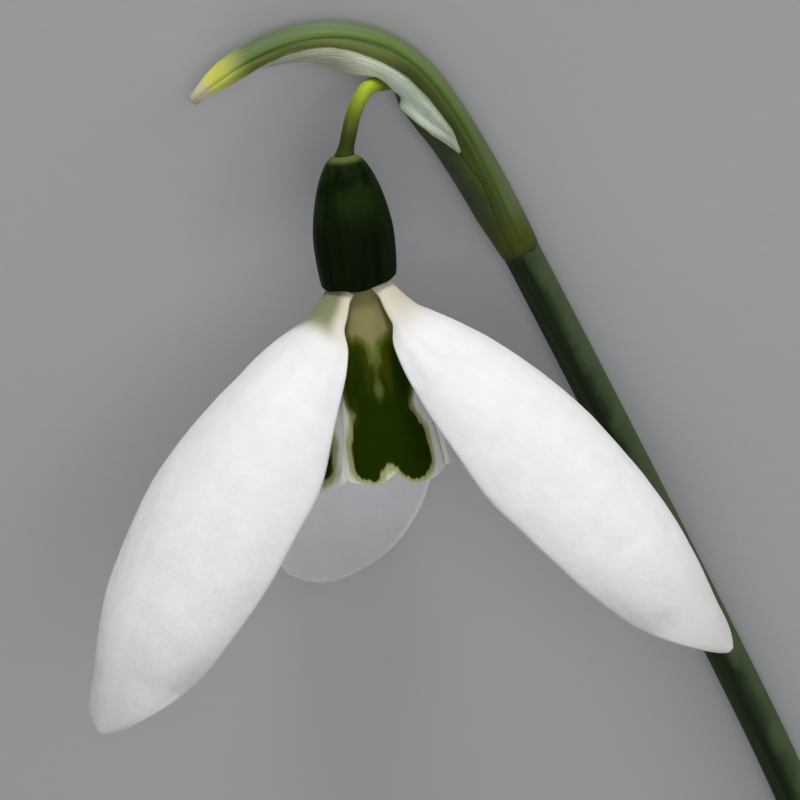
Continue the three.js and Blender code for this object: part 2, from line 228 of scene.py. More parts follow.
def face_outward():
    """Turns all faces of the active body outward."""
    bpy.ops.object.mode_set(mode="EDIT")
    bpy.ops.mesh.select_all(action="SELECT")
    bpy.ops.mesh.normals_make_consistent(inside=False)
    bpy.ops.object.mode_set(mode="OBJECT")


def finish_piece(piece, material, slot, *nodes):
    """Smooth-shades a piece, gives it its material and sets it in the frame."""
    bpy.ops.object.shade_smooth()
    piece.data.materials.append(material)
    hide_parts(*nodes)
    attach(piece, "root")


def maths(tree, operation, first, second):
    made = tree.nodes.new("ShaderNodeMath")
    made.operation = operation
    feed(tree, made.inputs[0], first)
    feed(tree, made.inputs[1], second)
    return made.outputs[0]


def times(tree, first, second):
    return maths(tree, "MULTIPLY", first, second)


def plus(tree, first, second):
    return maths(tree, "ADD", first, second)


def mix(tree, amount, first, second, most=1):
    """Goes from the first colour towards the second as amount goes from 0 to 1, most at most."""
    made = tree.nodes.new("ShaderNodeMix")
    made.data_type = "RGBA"
    amount = amount if most == 1 else times(tree, amount, most)
    for place, value in zip((0, 6, 7), (amount, first, second)):
        feed(tree, made.inputs[place], value)
    return made.outputs[2]


def step_up(tree, value, low, high):
    """A soft mask that goes from 0 at low to 1 at high; low may be above high."""
    made = add_node(tree, "ShaderNodeMapRange", {"Value": value, "From Min": low, "From Max": high},
                    interpolation_type="SMOOTHSTEP")
    return made.outputs["Result"]


def blend(tree, value, place, first, second, most=1):
    """Goes from the first colour to the second where a value passes a place, (start, full)."""
    return mix(tree, step_up(tree, value, *place), first, second, most)


def reading(tree, name, output="Fac"):
    return add_node(tree, "ShaderNodeAttribute", attribute_name=name).outputs[output]


def new_group(name, inputs, outputs):
    """An empty shader node group, with its own inputs and outputs as numbers."""
    group = bpy.data.node_groups.new(name, "ShaderNodeTree")
    for label, value in inputs.items():
        socket = group.interface.new_socket(label, in_out="INPUT", socket_type="NodeSocketFloat")
        socket.default_value = value
    for label in outputs:
        group.interface.new_socket(label, in_out="OUTPUT", socket_type="NodeSocketFloat")
    return group, group.nodes.new("NodeGroupInput").outputs, group.nodes.new("NodeGroupOutput").inputs


def use_group(tree, group, **values):
    made = tree.nodes.new("ShaderNodeGroup")
    made.node_tree = group
    for label, value in values.items():
        feed(tree, made.inputs[label], value)
    return made.outputs


def cloudy(tree, place, scale, detail):
    made = add_node(tree, "ShaderNodeTexNoise", {"Vector": place, "Scale": scale, "Detail": detail})
    return made.outputs["Fac"]


def make_flesh():
    """Fine cell grain and broad mottling of plant skin; skin is a vector in millimetres."""
    group, inputs, outputs = new_group("flesh", {"Grain": 5.0, "Mottle": 0.5}, ("Height", "Patches"))
    skin = reading(group, "skin", "Vector")
    feed(group, outputs["Height"], cloudy(group, skin, inputs["Grain"], 3))
    broad = cloudy(group, skin, inputs["Mottle"], 3)
    feed(group, outputs["Patches"], step_up(group, broad, *PATCH_EDGE))
    return group


def make_veins():
    """Streaks and thin ridges that run along the length of a piece."""
    group, inputs, outputs = new_group("veins", {"Across": 2.0, "Along": 0.08}, ("Streak", "Ridge"))
    skin = reading(group, "skin", "Vector")
    scale = add_node(group, "ShaderNodeCombineXYZ",
                     {"X": inputs["Across"], "Y": inputs["Across"], "Z": inputs["Along"]})
    drawn = add_node(group, "ShaderNodeVectorMath", operation="MULTIPLY")
    feed(group, drawn.inputs[0], skin)
    feed(group, drawn.inputs[1], scale.outputs["Vector"])
    lines = cloudy(group, drawn.outputs[0], 1.0, 4)
    off_middle = maths(group, "ABSOLUTE", maths(group, "SUBTRACT", lines, 0.5), 0.0)
    feed(group, outputs["Streak"], step_up(group, lines, *STREAK_EDGE))
    feed(group, outputs["Ridge"], step_up(group, off_middle, *RIDGE_EDGE))
    return group


FLESH = make_flesh()
VEINS = make_veins()


def ovary_skin():
    material, tree = new_material("ovary_skin")
    grow = reading(tree, "grow")
    flesh = use_group(tree, FLESH, Grain=4.0, Mottle=0.45)
    veins = use_group(tree, VEINS, Across=1.6, Along=0.12)
    patched = mix(tree, flesh["Patches"], OVARY_DARK, OVARY_GREEN)
    green = blend(tree, grow, OVARY_GREENS_AT, OVARY_DARK, patched)
    streaked = mix(tree, veins["Streak"], green, OVARY_GREEN, 0.25)
    # the shoulder is pale, and this colour is also a painted highlight
    colour = blend(tree, grow, OVARY_HIGHLIGHT_AT, streaked, OVARY_SHOULDER_HIGHLIGHT, 0.8)
    low, high = OVARY_ROUGHNESS
    rough = add_node(tree, "ShaderNodeMapRange", {"Value": flesh["Height"], "To Min": low, "To Max": high})
    finish = {"Roughness": rough.outputs["Result"], "Specular IOR Level": 0.03}
    return finish_material(material, colour, flesh["Height"], OVARY_RELIEF, finish)


bpy.ops.mesh.primitive_circle_add(vertices=OVARY_SIDES, radius=RIM_RADIUS, fill_type="NGON")
ovary = bpy.context.active_object
ovary.name = "ovary_body"
bpy.ops.object.mode_set(mode="EDIT")
height, radius = 0, RIM_RADIUS
for share, ring_radius in OVARY_RINGS:
    drop = share * OVARY_LENGTH - height
    bpy.ops.mesh.extrude_region_move(TRANSFORM_OT_translate={"value": (0, 0, -drop)})
    bpy.ops.transform.resize(value=(ring_radius / radius, ring_radius / radius, 1))
    height, radius = share * OVARY_LENGTH, ring_radius
bpy.ops.mesh.inset(thickness=SHOULDER_INSET)
bpy.ops.mesh.select_all(action="DESELECT")
bpy.ops.mesh.select_non_manifold()
bpy.ops.mesh.edge_face_add()
for inset in RIM_INSETS:
    bpy.ops.mesh.inset(thickness=inset)
face_outward()
for vertex in ovary.data.vertices:
    turn = atan2(vertex.co.x, vertex.co.y)
    fullness = 1
    for depth, lobes, start in OVARY_LOBES:
        fullness += depth * cos(lobes * turn + start)
    fullness += OVARY_UNEVEN * noise.noise(vertex.co * 0.5)
    vertex.co.x *= fullness
    vertex.co.y *= fullness
    from_axis = hypot(vertex.co.x, vertex.co.y)
    near_rim = soft_hump(vertex.co.z, 0, RIM_BENT) * soft_step(from_axis - RIM_INNER_RADIUS)
    scallop = RIM_SCALLOP * cos(6 * turn - 0.4)
    vertex.co.z += near_rim * (scallop - CLAW_RISE * soft_hump(turn, *CLAW_RISE_AT))
ovary.modifiers.new("round", "SUBSURF").levels = 1
only_select(ovary)
apply_modifiers(ovary)
skin = [vertex.co.copy() for vertex in ovary.data.vertices]
write_attributes(ovary, skin=skin, grow=[-place.z / OVARY_LENGTH for place in skin])
ovary.data.transform(HEAD)
finish_piece(ovary, ovary_skin(), "ovary", "ovary")


# -------------------- outer petals
# Three large white petals, soft and matt, cupped like spoons. Each stands on a short narrow claw
# under the ovary, spreads wide from its shoulder and closes in again towards a small pointed tip.
# All petals are blades of one kind: a middle line that leans out and closes in, in degrees from
# the flower's axis, and a cross-section that wraps round it. Lengths are in millimetres, angles in
# degrees, and places along a petal are shares of its length.
OUTER_FORM = dict(
    claw=2.12, seat=0.32, lean=40, shoulder=0.097, claw_end=0.06, claw_wrap=43,
    full_wrap_at=0.22, half=8.4, widest=0.55, wrap=77, rise=0.55, taper=2.2, blunt=0.62,
    tip_half=0.16, tip_from=0.88, tip_flat=0.6, thickness=0.42,
)
# each petal also says how much painted shade, tinged green, lies on its claw
# "fuller" is where the inner margin stands out: (place, reach, millimetres)
OUTER_PETALS = {
    "left": dict(azimuth=-52.6, length=31.8, spread=67.6, close=11, ease=0.93, twist=-5.5, sway=-1.5,
                 root=-0.018, claw_half=1.5, claw_end_half=2.3, inner_side=1, stain=1.0,
                 fuller=((0.36, 0.12, 0.8), (0.58, 0.16, 0.45), (0.87, 0.07, 0.3))),
    "right": dict(azimuth=66.4, length=31.8, spread=66.4, close=13.4, ease=0.82, twist=-3.6, sway=2.8,
                  root=-0.035, claw_half=1.1, claw_end_half=2.05, inner_side=-1, stain=0.15,
                  fuller=((0.46, 0.12, 0.35),)),
    "back": dict(azimuth=198.1, length=30.4, spread=54.1, close=5.1, ease=1.43, twist=0.9, sway=-0.4,
                 root=-0.018, claw_half=1.5, claw_end_half=1.7, inner_side=1, stain=0.5, fuller=()),
}
PETAL_WHITE = (0.86, 0.86, 0.865, 1)
PETAL_VEIN = (0.74, 0.74, 0.75, 1)
PETAL_CLOUD = (0.76, 0.73, 0.745, 1)
PETAL_CLAW = (0.67, 0.63, 0.50, 1)
# painted shade on the claws, a greenish grey
PETAL_CLAW_SHADE = (0.25, 0.26, 0.145, 1)
# painted shade: the petals darken towards their tips
PETAL_TIP_SHADE = (0.56, 0.53, 0.50, 1)
PETAL_SPECK = (0.30, 0.24, 0.20, 1)
# where a colour starts and is full
PETAL_CLAW_AT = (0.13, 0.015)
PETAL_TIP_SHADE_AT = (0.72, 1.0)
# the painted shade on the claw ends here, somewhat later on its outer side, and fades over this stretch
CLAW_SHADE_ENDS = 0.10
CLAW_SHADE_ENDS_LATER = 0.035
CLAW_SHADE_FADES = 0.05
OUTER_RIBS = (0.008, 5.5)  # (height, ribs on half the width)
# uneven relief: (height, grain across, grain along)
SWELL = (0.15, 0.30, 0.16)
DIMPLES = (0.06, 0.8, 0.6)
PUCKERS = (0.14, 1.3, 1.5)
UNEVEN_MARGIN = 0.06
# the rolled inner margin, along the petal and across it: (middle, reach)
MARGIN_ROLLED_AT = (0.15, 0.07)
MARGIN_GROOVE_AT = (0.72, 0.07)
MARGIN_GROOVE = 0.16
OUTER_GRID = (36, 72)
OUTER_THIN_EDGE = 0.55
OUTER_RELIEF = (0.22, 0.0003)
# petals are soft, a little translucent and barely shiny
OUTER_FINISH = {
    "Roughness": 0.62, "Specular IOR Level": 0.1, "Subsurface Weight": 0.6,
    "Subsurface Radius": (1.0, 1.0, 0.85), "Subsurface Scale": 0.0006,
}
SPECK_CHANCE = (0.6, 0.75)
SPINE_STEPS = 12


def petal_slope(form, share):
    if share < form["shoulder"]:
        return form["lean"] + (form["spread"] - form["lean"]) * soft_step(share / form["shoulder"])
    rest = (share - form["shoulder"]) / (1 - form["shoulder"])
    return form["spread"] + (form["close"] - form["spread"]) * rest ** form["ease"]


def petal_spine(form, shares):
    """Middle line of a petal: its distance from the axis, height and slope at each share."""
    lean = radians(form["lean"])
    radial = form["claw"] + sin(lean) * form["length"] * shares[0]
    axial = form["seat"] + cos(lean) * form["length"] * shares[0]
    spine = [(radial, axial, lean)]
    for before, after in zip(shares, shares[1:]):
        reach = (after - before) * form["length"] / SPINE_STEPS
        for k in range(SPINE_STEPS):
            slope = radians(petal_slope(form, before + (after - before) * (k + 0.5) / SPINE_STEPS))
            radial += sin(slope) * reach
            axial += cos(slope) * reach
        spine.append((radial, axial, radians(petal_slope(form, after))))
    return spine


def on_head(radial, sideways, axial, azimuth):
    """A place in the head's frame, from its distances out from the axis, aside and along it."""
    turn = radians(azimuth)
    x = radial * sin(turn) + sideways * cos(turn)
    return Vector((x, radial * cos(turn) - sideways * sin(turn), axial))


def outer_half_width(form, share):
    claw, claw_end = form["claw_half"], form["claw_end_half"]
    if share < form["claw_end"]:
        return claw + (claw_end - claw) * max(share, 0) / form["claw_end"]
    if share < form["widest"]:
        part = (share - form["claw_end"]) / (form["widest"] - form["claw_end"])
        return claw_end + (form["half"] - claw_end) * sin(pi / 2 * part) ** form["rise"]
    beyond = (share - form["widest"]) / (1 - form["widest"])
    return max(form["half"] * (1 - beyond ** form["taper"]) ** form["blunt"], form["tip_half"])


def lay_grid(name, columns, rows):
    """A flat grid, and its vertices as shares across (-1 to 1) and along (0 to 1)."""
    bpy.ops.mesh.primitive_grid_add(x_subdivisions=columns, y_subdivisions=rows, size=2)
    piece = bpy.context.active_object
    piece.name = name
    return piece, [(vertex.co.x, (vertex.co.y + 1) / 2) for vertex in piece.data.vertices]


def petal_rows(form, rows):
    """Shares of a petal's length, crowded at both ends, and its middle line at them."""
    crowded = [0.5 - 0.5 * cos(pi * i / rows) for i in range(rows + 1)]
    shares = [form["root"] + (1 - form["root"]) * share for share in crowded]
    return list(zip(shares, petal_spine(form, shares)))


def petal_wrap(form, share):
    """How far a petal wraps round to each side of its middle line, in radians."""
    opened = soft_step(share / form["full_wrap_at"])
    return radians(form["claw_wrap"] + (form["wrap"] - form["claw_wrap"]) * opened)


def thicken(piece, thickness, thin_edge, shares):
    """Turns a sheet into a blade of even thickness that thins out towards its edges."""
    group = piece.vertex_groups.new(name="flesh")
    for index, (across, _) in enumerate(shares):
        group.add([index], thin_edge + (1 - thin_edge) * soft_step((1 - abs(across)) / 0.25), "REPLACE")
    solid = piece.modifiers.new("blade", "SOLIDIFY")
    solid.thickness = thickness
    solid.offset = 0
    solid.vertex_group = "flesh"
    solid.thickness_vertex_group = thin_edge
    only_select(piece)
    apply_modifiers(piece)
    # the first half of the vertices is the inner face of the blade, the second half the outer one
    half = len(piece.data.vertices) // 2
    write_attributes(piece, outside=[float(index >= half) for index in range(2 * half)])
    face_outward()
    piece.modifiers.new("round", "SUBSURF").levels = 1
    apply_modifiers(piece)


def raise_relief(piece, relief):
    """Moves each vertex along its normal, by a list of heights."""
    normals = [vertex.normal.copy() for vertex in piece.data.vertices]
    for vertex, normal, height in zip(piece.data.vertices, normals, relief):
        vertex.co += normal * height


def ribs(size, across):
    height, count = size
    return height * cos(2 * pi * count * across)


def lumps(size, place, start):
    height, across, along = size
    return height * noise.noise(Vector((place.x * across, 0, place.z * along)) + start)


def petal_blade(piece, shares, form, thin_edge, relief):
    """Gives a petal's sheet its relief, makes it a blade and sets it on the head."""
    piece.data.update()
    raise_relief(piece, relief)
    thicken(piece, form["thickness"], thin_edge, shares)
    piece.data.transform(HEAD)
    return piece


def outer_petal(side, own):
    form = {**OUTER_FORM, **own}
    piece, shares = lay_grid(f"outer_petal_{side}", *OUTER_GRID)
    rows = petal_rows(form, OUTER_GRID[1])
    skin, grow, relief, stain = [], [], [], []
    seed = Vector((form["azimuth"], 0, 0))
    for vertex, (across, along) in zip(piece.data.vertices, shares):
        share, (radial, axial, slope) = rows[round(along * OUTER_GRID[1])]
        flattened = form["tip_flat"] * soft_step((share - form["tip_from"]) / (1 - form["tip_from"]))
        wrap = petal_wrap(form, share) * (1 - flattened)
        half = outer_half_width(form, share)
        # the margins are a little uneven
        uneven = noise.noise(Vector((share * 14, across, form["azimuth"])))
        uneven *= UNEVEN_MARGIN * abs(across) ** 6
        inner_side = max(across * form["inner_side"], 0)
        for at, reach, amount in form["fuller"]:
            uneven += amount * inner_side ** 3 * soft_hump(share, at, reach)
        arc, turned = half / wrap, wrap * across * (1 + uneven / half)
        twist = radians(form["twist"]) * soft_step(share)
        sideways, inward = arc * sin(turned), arc * (1 - cos(turned))
        shifted = sideways * cos(twist) + inward * sin(twist) + form["sway"] * max(share, 0) ** 1.5
        depth = inward * cos(twist) - sideways * sin(twist)
        vertex.co = on_head(radial - depth * cos(slope), shifted, axial + depth * sin(slope),
                            form["azimuth"])
        place = Vector((half * across, 0, share * form["length"]))
        skin.append(place)
        grow.append(share)
        # painted shade on the claw, which fades out along the petal and towards its inner margin
        outer_side = max(-across * form["inner_side"], 0)
        faded = soft_step((CLAW_SHADE_ENDS + CLAW_SHADE_ENDS_LATER * outer_side - share) / CLAW_SHADE_FADES)
        stain.append(form["stain"] * faded * soft_step((0.85 - inner_side) / 0.45))
        ends = soft_step(share / 0.15) * soft_step((1 - share) / 0.12)
        body = ends * soft_step((1 - abs(across)) / 0.3)
        even = ribs(OUTER_RIBS, across) + lumps(SWELL, place, seed) + lumps(DIMPLES, place, -seed)
        rolled = soft_hump(share, *MARGIN_ROLLED_AT) * soft_step((inner_side - 0.45) / 0.2)
        groove = -MARGIN_GROOVE * soft_hump(inner_side, *MARGIN_GROOVE_AT)
        puckers = lumps(PUCKERS, place, seed + Vector((0, 3, 0)))
        relief.append(body * even + rolled * (groove + puckers))
    write_attributes(piece, skin=skin, grow=grow, stain=stain)
    return petal_blade(piece, shares, form, OUTER_THIN_EDGE, relief)


def make_specks():
    """A few small round specks, one cell in three, with cells so many to the millimetre."""
    group, inputs, outputs = new_group("specks", {"Cells": 0.35, "Size": 0.05}, ("Speck",))
    skin = reading(group, "skin", "Vector")
    cells = add_node(group, "ShaderNodeTexVoronoi", {"Vector": skin, "Scale": inputs["Cells"]})
    chance = add_node(group, "ShaderNodeSeparateColor", {"Color": cells.outputs["Color"]})
    reach = times(group, inputs["Size"], chance.outputs["Green"])
    spot = step_up(group, cells.outputs["Distance"], reach, 0.0)
    chosen = step_up(group, chance.outputs["Red"], *SPECK_CHANCE)
    feed(group, outputs["Speck"], times(group, spot, chosen))
    return group


SPECKS = make_specks()


def outer_petal_tissue():
    material, tree = new_material("white_petal")
    grow = reading(tree, "grow")
    flesh = use_group(tree, FLESH, Grain=5.5, Mottle=0.6)
    veins = use_group(tree, VEINS, Across=1.7, Along=0.07)
    specks = use_group(tree, SPECKS, Cells=0.34, Size=0.05)
    white = mix(tree, veins["Ridge"], PETAL_WHITE, PETAL_VEIN, 0.10)
    clouded = mix(tree, flesh["Patches"], white, PETAL_CLOUD, 0.3)
    claw = blend(tree, grow, PETAL_CLAW_AT, clouded, PETAL_CLAW)
    # painted shade on the claws, strongest on the left petal
    stained = mix(tree, reading(tree, "stain"), claw, PETAL_CLAW_SHADE)
    # painted shade towards the tips
    tip = blend(tree, grow, PETAL_TIP_SHADE_AT, stained, PETAL_TIP_SHADE, 0.6)
    speckled = mix(tree, specks["Speck"], tip, PETAL_SPECK, 0.55)
    pillows = use_group(tree, FLESH, Grain=1.3, Mottle=0.2)
    fine = plus(tree, flesh["Height"], times(tree, veins["Streak"], 0.4))
    height = plus(tree, pillows["Height"], times(tree, fine, 0.2))
    return finish_material(material, speckled, height, OUTER_RELIEF, OUTER_FINISH)


white_petal = outer_petal_tissue()
for side, own in OUTER_PETALS.items():
    finish_piece(outer_petal(side, own), white_petal, "outer_petal", f"outer_tepal_{side}")


# -------------------- inner petals
# Three short petals that stand edge to edge as a bell, white with a green mark like an X on their
# outer faces and green lines on their inner ones. The edge of the mouth is notched.
INNER_FORM = dict(
    claw=1.4, seat=0.12, lean=8, shoulder=0.15, spread=20, close=5, ease=1, claw_wrap=56,
    full_wrap_at=0.35, flat=1.1, roundness=1.3, droop=0, reach=0, notch=0.55, notch_half=0.16,
    thickness=0.42, root=-0.03,
)
INNER_PETALS = {
    "front": dict(azimuth=17, wrap=43.5, length=12.1, tuck=0, roundness=0.6, droop=0.4, reach=0.2,
                  mark_wrap=43.5),
    "left": dict(azimuth=-102, wrap=66, length=12.9, tuck=0.35, mark_wrap=40.5),
    "right": dict(azimuth=124, wrap=53, length=12.2, tuck=0, spread=24, roundness=0.4, mark_wrap=80),
}
# the green mark: round lobes as (across, along, radius) in millimetres from the middle of the
# claw, joined in chains, and the notch in its lower end as (across, along, half width, half height)
MARK_CHAINS = (
    ((-1.33, 3.75, 0.72), (-1.43, 6.1, 0.86), (-1.08, 7.6, 0.85), (-1.33, 9.6, 1.15),
     (-1.4, 10.8, 1.08)),
    ((0.94, 3.85, 0.7), (1.02, 6.1, 0.8), (0.58, 7.6, 0.72), (1.12, 9.6, 1.35), (1.37, 10.95, 1.25)),
    ((-0.2, 5.0, 0.4), (-0.2, 5.9, 0.8), (-0.2, 7.7, 1.0), (-0.18, 9.9, 1.3)),
)
MARK_NOTCH = (-0.4, 12.25, 0.66, 1.2)
# the pale line down the middle of the mark: (along, across, half width, paleness)
PALE_LINE = (
    (3.6, -0.18, 0.3, 0), (4.5, -0.18, 0.2, 0.8), (5.4, -0.27, 0.12, 0.45), (6.3, -0.27, 0.26, 1),
    (7.3, -0.3, 0.05, 0),
)
INNER_WHITE = (0.90, 0.90, 0.82, 1)
# painted shade on the claw, which sits in shade between the petals: a dark cream-brown
INNER_CLAW_SHADE = (0.27, 0.245, 0.108, 1)
MARK_GREEN = (0.014, 0.032, 0.0006, 1)
MARK_OLIVE = (0.040, 0.050, 0.0010, 1)
MARK_FADE = (0.11, 0.135, 0.016, 1)
MARK_PALE = (0.115, 0.15, 0.028, 1)
MARK_RIM = (0.42, 0.44, 0.20, 1)
INSIDE_GREEN = (0.22, 0.33, 0.08, 1)
# where the painted shade on the claw, the fading of the mark and its soft edge start and are full
INNER_CLAW_SHADE_AT = (0.60, 0.40)
MARK_FADES_AT = (0.72, 0.56)
MARK_SOFT_AT = (0.36, 0.26)
# and, in millimetres inside the mark's edge, its halo, its greens and the lines of the inner face
HALO_AT = (-0.55, -0.1)
OLIVE_AT = (-0.07, 0.10)
GREEN_AT = (0.0, 0.2)
DEEP_GREEN_AT = (0.5, 1.1)
INSIDE_LINES_AT = (-0.6, 0.4)
INNER_RIBS = (0.016, 3.5)
INNER_LUMPS = (0.06, 0.5, 0.25)
INNER_GRID = (40, 56)
INNER_THIN_EDGE = 0.6
INNER_RELIEF = (0.3, 0.00006)
INNER_FINISH = {**OUTER_FINISH, "Specular IOR Level": 0.02, "Subsurface Scale": 0.0004}


def chain_depth(chain, x, z):
    """How far inside a chain of joined round lobes a place lies."""
    depth = -9.0
    for (x0, z0, r0), (x1, z1, r1) in zip(chain, chain[1:]):
        length = (x1 - x0) ** 2 + (z1 - z0) ** 2
        part = min(max(((x - x0) * (x1 - x0) + (z - z0) * (z1 - z0)) / length, 0), 1)
        reach = hypot(x - x0 - part * (x1 - x0), z - z0 - part * (z1 - z0))
        depth = max(depth, r0 + part * (r1 - r0) - reach)
    return depth


def mark_depth(x, z):
    """How far inside the green mark a place on the petal lies, in millimetres."""
    depth = max(chain_depth(chain, x, z) for chain in MARK_CHAINS)
    x0, z0, half_width, half_height = MARK_NOTCH
    return min(depth, (hypot((x - x0) / half_width, (z - z0) / half_height) - 1) * half_width)


def mark_paleness(x, z):
    """How pale a place in the mark is, on the line down its middle."""
    for (z0, *low), (z1, *high) in zip(PALE_LINE, PALE_LINE[1:]):
        if z0 <= z < z1:
            part = soft_step((z - z0) / (z1 - z0))
            middle, half_width, paleness = (a + (b - a) * part for a, b in zip(low, high))
            return paleness * soft_step(1.5 - abs(x - middle) / half_width)
    return 0


def inner_petal(side, own):
    form = {**INNER_FORM, **own}
    piece, shares = lay_grid(f"inner_petal_{side}", *INNER_GRID)
    rows = petal_rows(form, INNER_GRID[1])
    skin, grow, relief, mark, pale = [], [], [], [], []
    for vertex, (across, along) in zip(piece.data.vertices, shares):
        share, (radial, axial, slope) = rows[round(along * INNER_GRID[1])]
        wrap = petal_wrap(form, share)
        arc = radial * form["flat"]
        # the front petal reaches farther on one side, over the next petal's margin
        reach = form["reach"] * soft_step(across) * soft_step((share - 0.4) / 0.4)
        turned = wrap * across * (1 + reach)
        inward = arc * (1 - cos(turned))
        # one margin is tucked under the next petal's
        inward += form["tuck"] * soft_step((across - 0.6) / 0.4) * soft_step(share / 0.3)
        notch = form["notch"] * soft_hump(across, 0, form["notch_half"])
        droop = form["droop"] * soft_step(across / 0.5)
        shorter = max(share, 0) ** 6 * (form["roundness"] * across ** 4 + notch - droop)
        vertex.co = on_head(radial - inward * cos(slope), arc * sin(turned),
                            axial + inward * sin(slope) - shorter, form["azimuth"])
        place = Vector((arc * turned, 0, share * form["length"] - shorter))
        skin.append(place)
        grow.append(share)
        mark_at = arc * radians(form["mark_wrap"]) * turned / wrap
        mark.append(mark_depth(mark_at, place.z))
        pale.append(mark_paleness(mark_at, place.z))
        even = ribs(INNER_RIBS, across) * soft_step(share / 0.3)
        even += lumps(INNER_LUMPS, place, Vector((0, form["azimuth"], 0)))
        relief.append(soft_step((1 - abs(across)) / 0.15) * even)
    write_attributes(piece, skin=skin, grow=grow, mark=mark, pale=pale)
    return petal_blade(piece, shares, form, INNER_THIN_EDGE, relief)


def inner_petal_tissue():
    material, tree = new_material("marked_petal")
    grow = reading(tree, "grow")
    flesh = use_group(tree, FLESH, Grain=5.5, Mottle=0.6)
    veins = use_group(tree, VEINS, Across=2.6, Along=0.25)
    lines = use_group(tree, VEINS, Across=1.5, Along=0.06)
    # painted shade on the claw
    claw = blend(tree, grow, INNER_CLAW_SHADE_AT, INNER_WHITE, INNER_CLAW_SHADE)
    # the edge of the mark is frayed along the veins
    fray = times(tree, maths(tree, "SUBTRACT", veins["Streak"], 0.5), 0.18)
    depth = plus(tree, reading(tree, "mark"), fray)
    outside = reading(tree, "outside")
    inside = maths(tree, "SUBTRACT", 1.0, outside)
    # the mark fades into an olive halo, most of all where it starts near the claw
    halo = blend(tree, grow, MARK_FADES_AT, MARK_RIM, MARK_FADE)
    rim = mix(tree, times(tree, step_up(tree, depth, *HALO_AT), outside), claw, halo)
    soft = times(tree, step_up(tree, grow, *MARK_SOFT_AT), 0.7)
    sharp = times(tree, depth, maths(tree, "SUBTRACT", 1.0, soft))
    olive = mix(tree, times(tree, step_up(tree, sharp, *OLIVE_AT), outside), rim, MARK_OLIVE)
    deep = step_up(tree, plus(tree, depth, grow), *DEEP_GREEN_AT)
    within = times(tree, step_up(tree, depth, *GREEN_AT), outside)
    green = mix(tree, times(tree, deep, within), olive, MARK_GREEN)
    mark = mix(tree, times(tree, reading(tree, "pale"), outside), green, MARK_PALE)
    striped = times(tree, lines["Streak"], step_up(tree, depth, *INSIDE_LINES_AT))
    colour = mix(tree, times(tree, striped, inside), mark, INSIDE_GREEN)
    height = plus(tree, flesh["Height"], times(tree, veins["Streak"], 0.8))
    return finish_material(material, colour, height, INNER_RELIEF, INNER_FINISH)


marked_petal = inner_petal_tissue()
for side, own in INNER_PETALS.items():
    finish_piece(inner_petal(side, own), marked_petal, "inner_petal", f"inner_tepal_{side}")


# -------------------- stamens and style
# Six stamens stand in the bell round the style: each is a short white filament with a pointed
# orange-yellow anther. The style is a slender white thread a little longer than they are.
STAMENS = 6
STAMEN_STEPS = 18
STAMEN_CIRCLE = 0.74
ANTHER_CIRCLE = 1.02
FILAMENT_RADIUS = 0.19
FILAMENT_LENGTH = 1.7
ANTHER_RADIUS = 0.4
ANTHER_TIP = 0.04
ANTHER_LENGTH = 5.6
ANTHER_GROOVE = 0.05
ANTHER_FROM = 0.26
STYLE_RADIUS = 0.22
STYLE_LENGTH = 9.2
STYLE_STEPS = 24
STYLE_NARROWS = 0.35
STALK_SIDES = 16
FILAMENT_WHITE = (0.78, 0.80, 0.68, 1)
ANTHER_YELLOW = (0.72, 0.36, 0.04, 1)
ANTHER_BROWN = (0.38, 0.17, 0.03, 1)
STYLE_TIP = (0.55, 0.62, 0.35, 1)
STYLE_TIP_FROM = 0.9
COLOUR_CHANGE = 0.03
STAMEN_RELIEF = (0.4, 0.00005)
STAMEN_FINISH = {"Roughness": 0.6}


def distances_along(places):
    """How far each place on a line is from its start."""
    walked = [0]
    for before, after in zip(places, places[1:]):
        walked.append(walked[-1] + (after - before).length)
    return walked


def stalk(name, places, radii, sides):
    """A round stalk along places in millimetres, with its skin laid out along it."""
    line = bpy.data.curves.new(name, "CURVE")
    line.dimensions = "3D"
    spline = line.splines.new("POLY")
    spline.points.add(len(places) - 1)
    for knot, place, radius in zip(spline.points, places, radii):
        knot.co = (*place, 1)
        knot.radius = radius
    line.bevel_depth = 1
    line.bevel_resolution = sides // 2 - 2
    piece = bpy.data.objects.new(name, line)
    bpy.context.collection.objects.link(piece)
    only_select(piece)
    bpy.ops.object.convert(target="MESH")
    piece = bpy.context.active_object
    walked = distances_along(places)
    skin, grow = [], []
    for index in range(len(piece.data.vertices)):
        ring, side = index // sides, 2 * pi * (index % sides) / sides
        skin.append(Vector((radii[ring] * cos(side), radii[ring] * sin(side), walked[ring])))
        grow.append(walked[ring] / walked[-1])
    write_attributes(piece, skin=skin, grow=grow)
    bpy.ops.object.mode_set(mode="EDIT")
    bpy.ops.mesh.select_all(action="SELECT")
    bpy.ops.mesh.fill_holes(sides=0)
    face_outward()
    return piece


def stamen(number):
    azimuth = 360 * (number - 0.5) / STAMENS
    places, radii = [], []
    for i in range(STAMEN_STEPS + 1):
        share = i / STAMEN_STEPS
        height = (FILAMENT_LENGTH + ANTHER_LENGTH) * share
        up = min(max((height - FILAMENT_LENGTH) / ANTHER_LENGTH, 0), 1)
        circle = STAMEN_CIRCLE + (ANTHER_CIRCLE - STAMEN_CIRCLE) * sin(pi * share)
        places.append(on_head(circle, 0, height, azimuth))
        anther = ANTHER_TIP + (ANTHER_RADIUS - ANTHER_TIP) * (1 - up ** 2.6) * soft_step(up * 14 + 0.4)
        radii.append(anther if up > 0 else FILAMENT_RADIUS)
    piece = stalk(f"stamen_piece_{number}", places, radii, STALK_SIDES)
    # an anther has two halves with a groove between them
    groove = []
    for index in range(len(piece.data.vertices)):
        ring, side = index // STALK_SIDES, 2 * pi * (index % STALK_SIDES) / STALK_SIDES
        groove.append(-ANTHER_GROOVE * abs(cos(side)) ** 6 * soft_step(radii[ring] / 0.3 - 0.8))
    raise_relief(piece, groove)
    piece.data.transform(HEAD)
    return piece


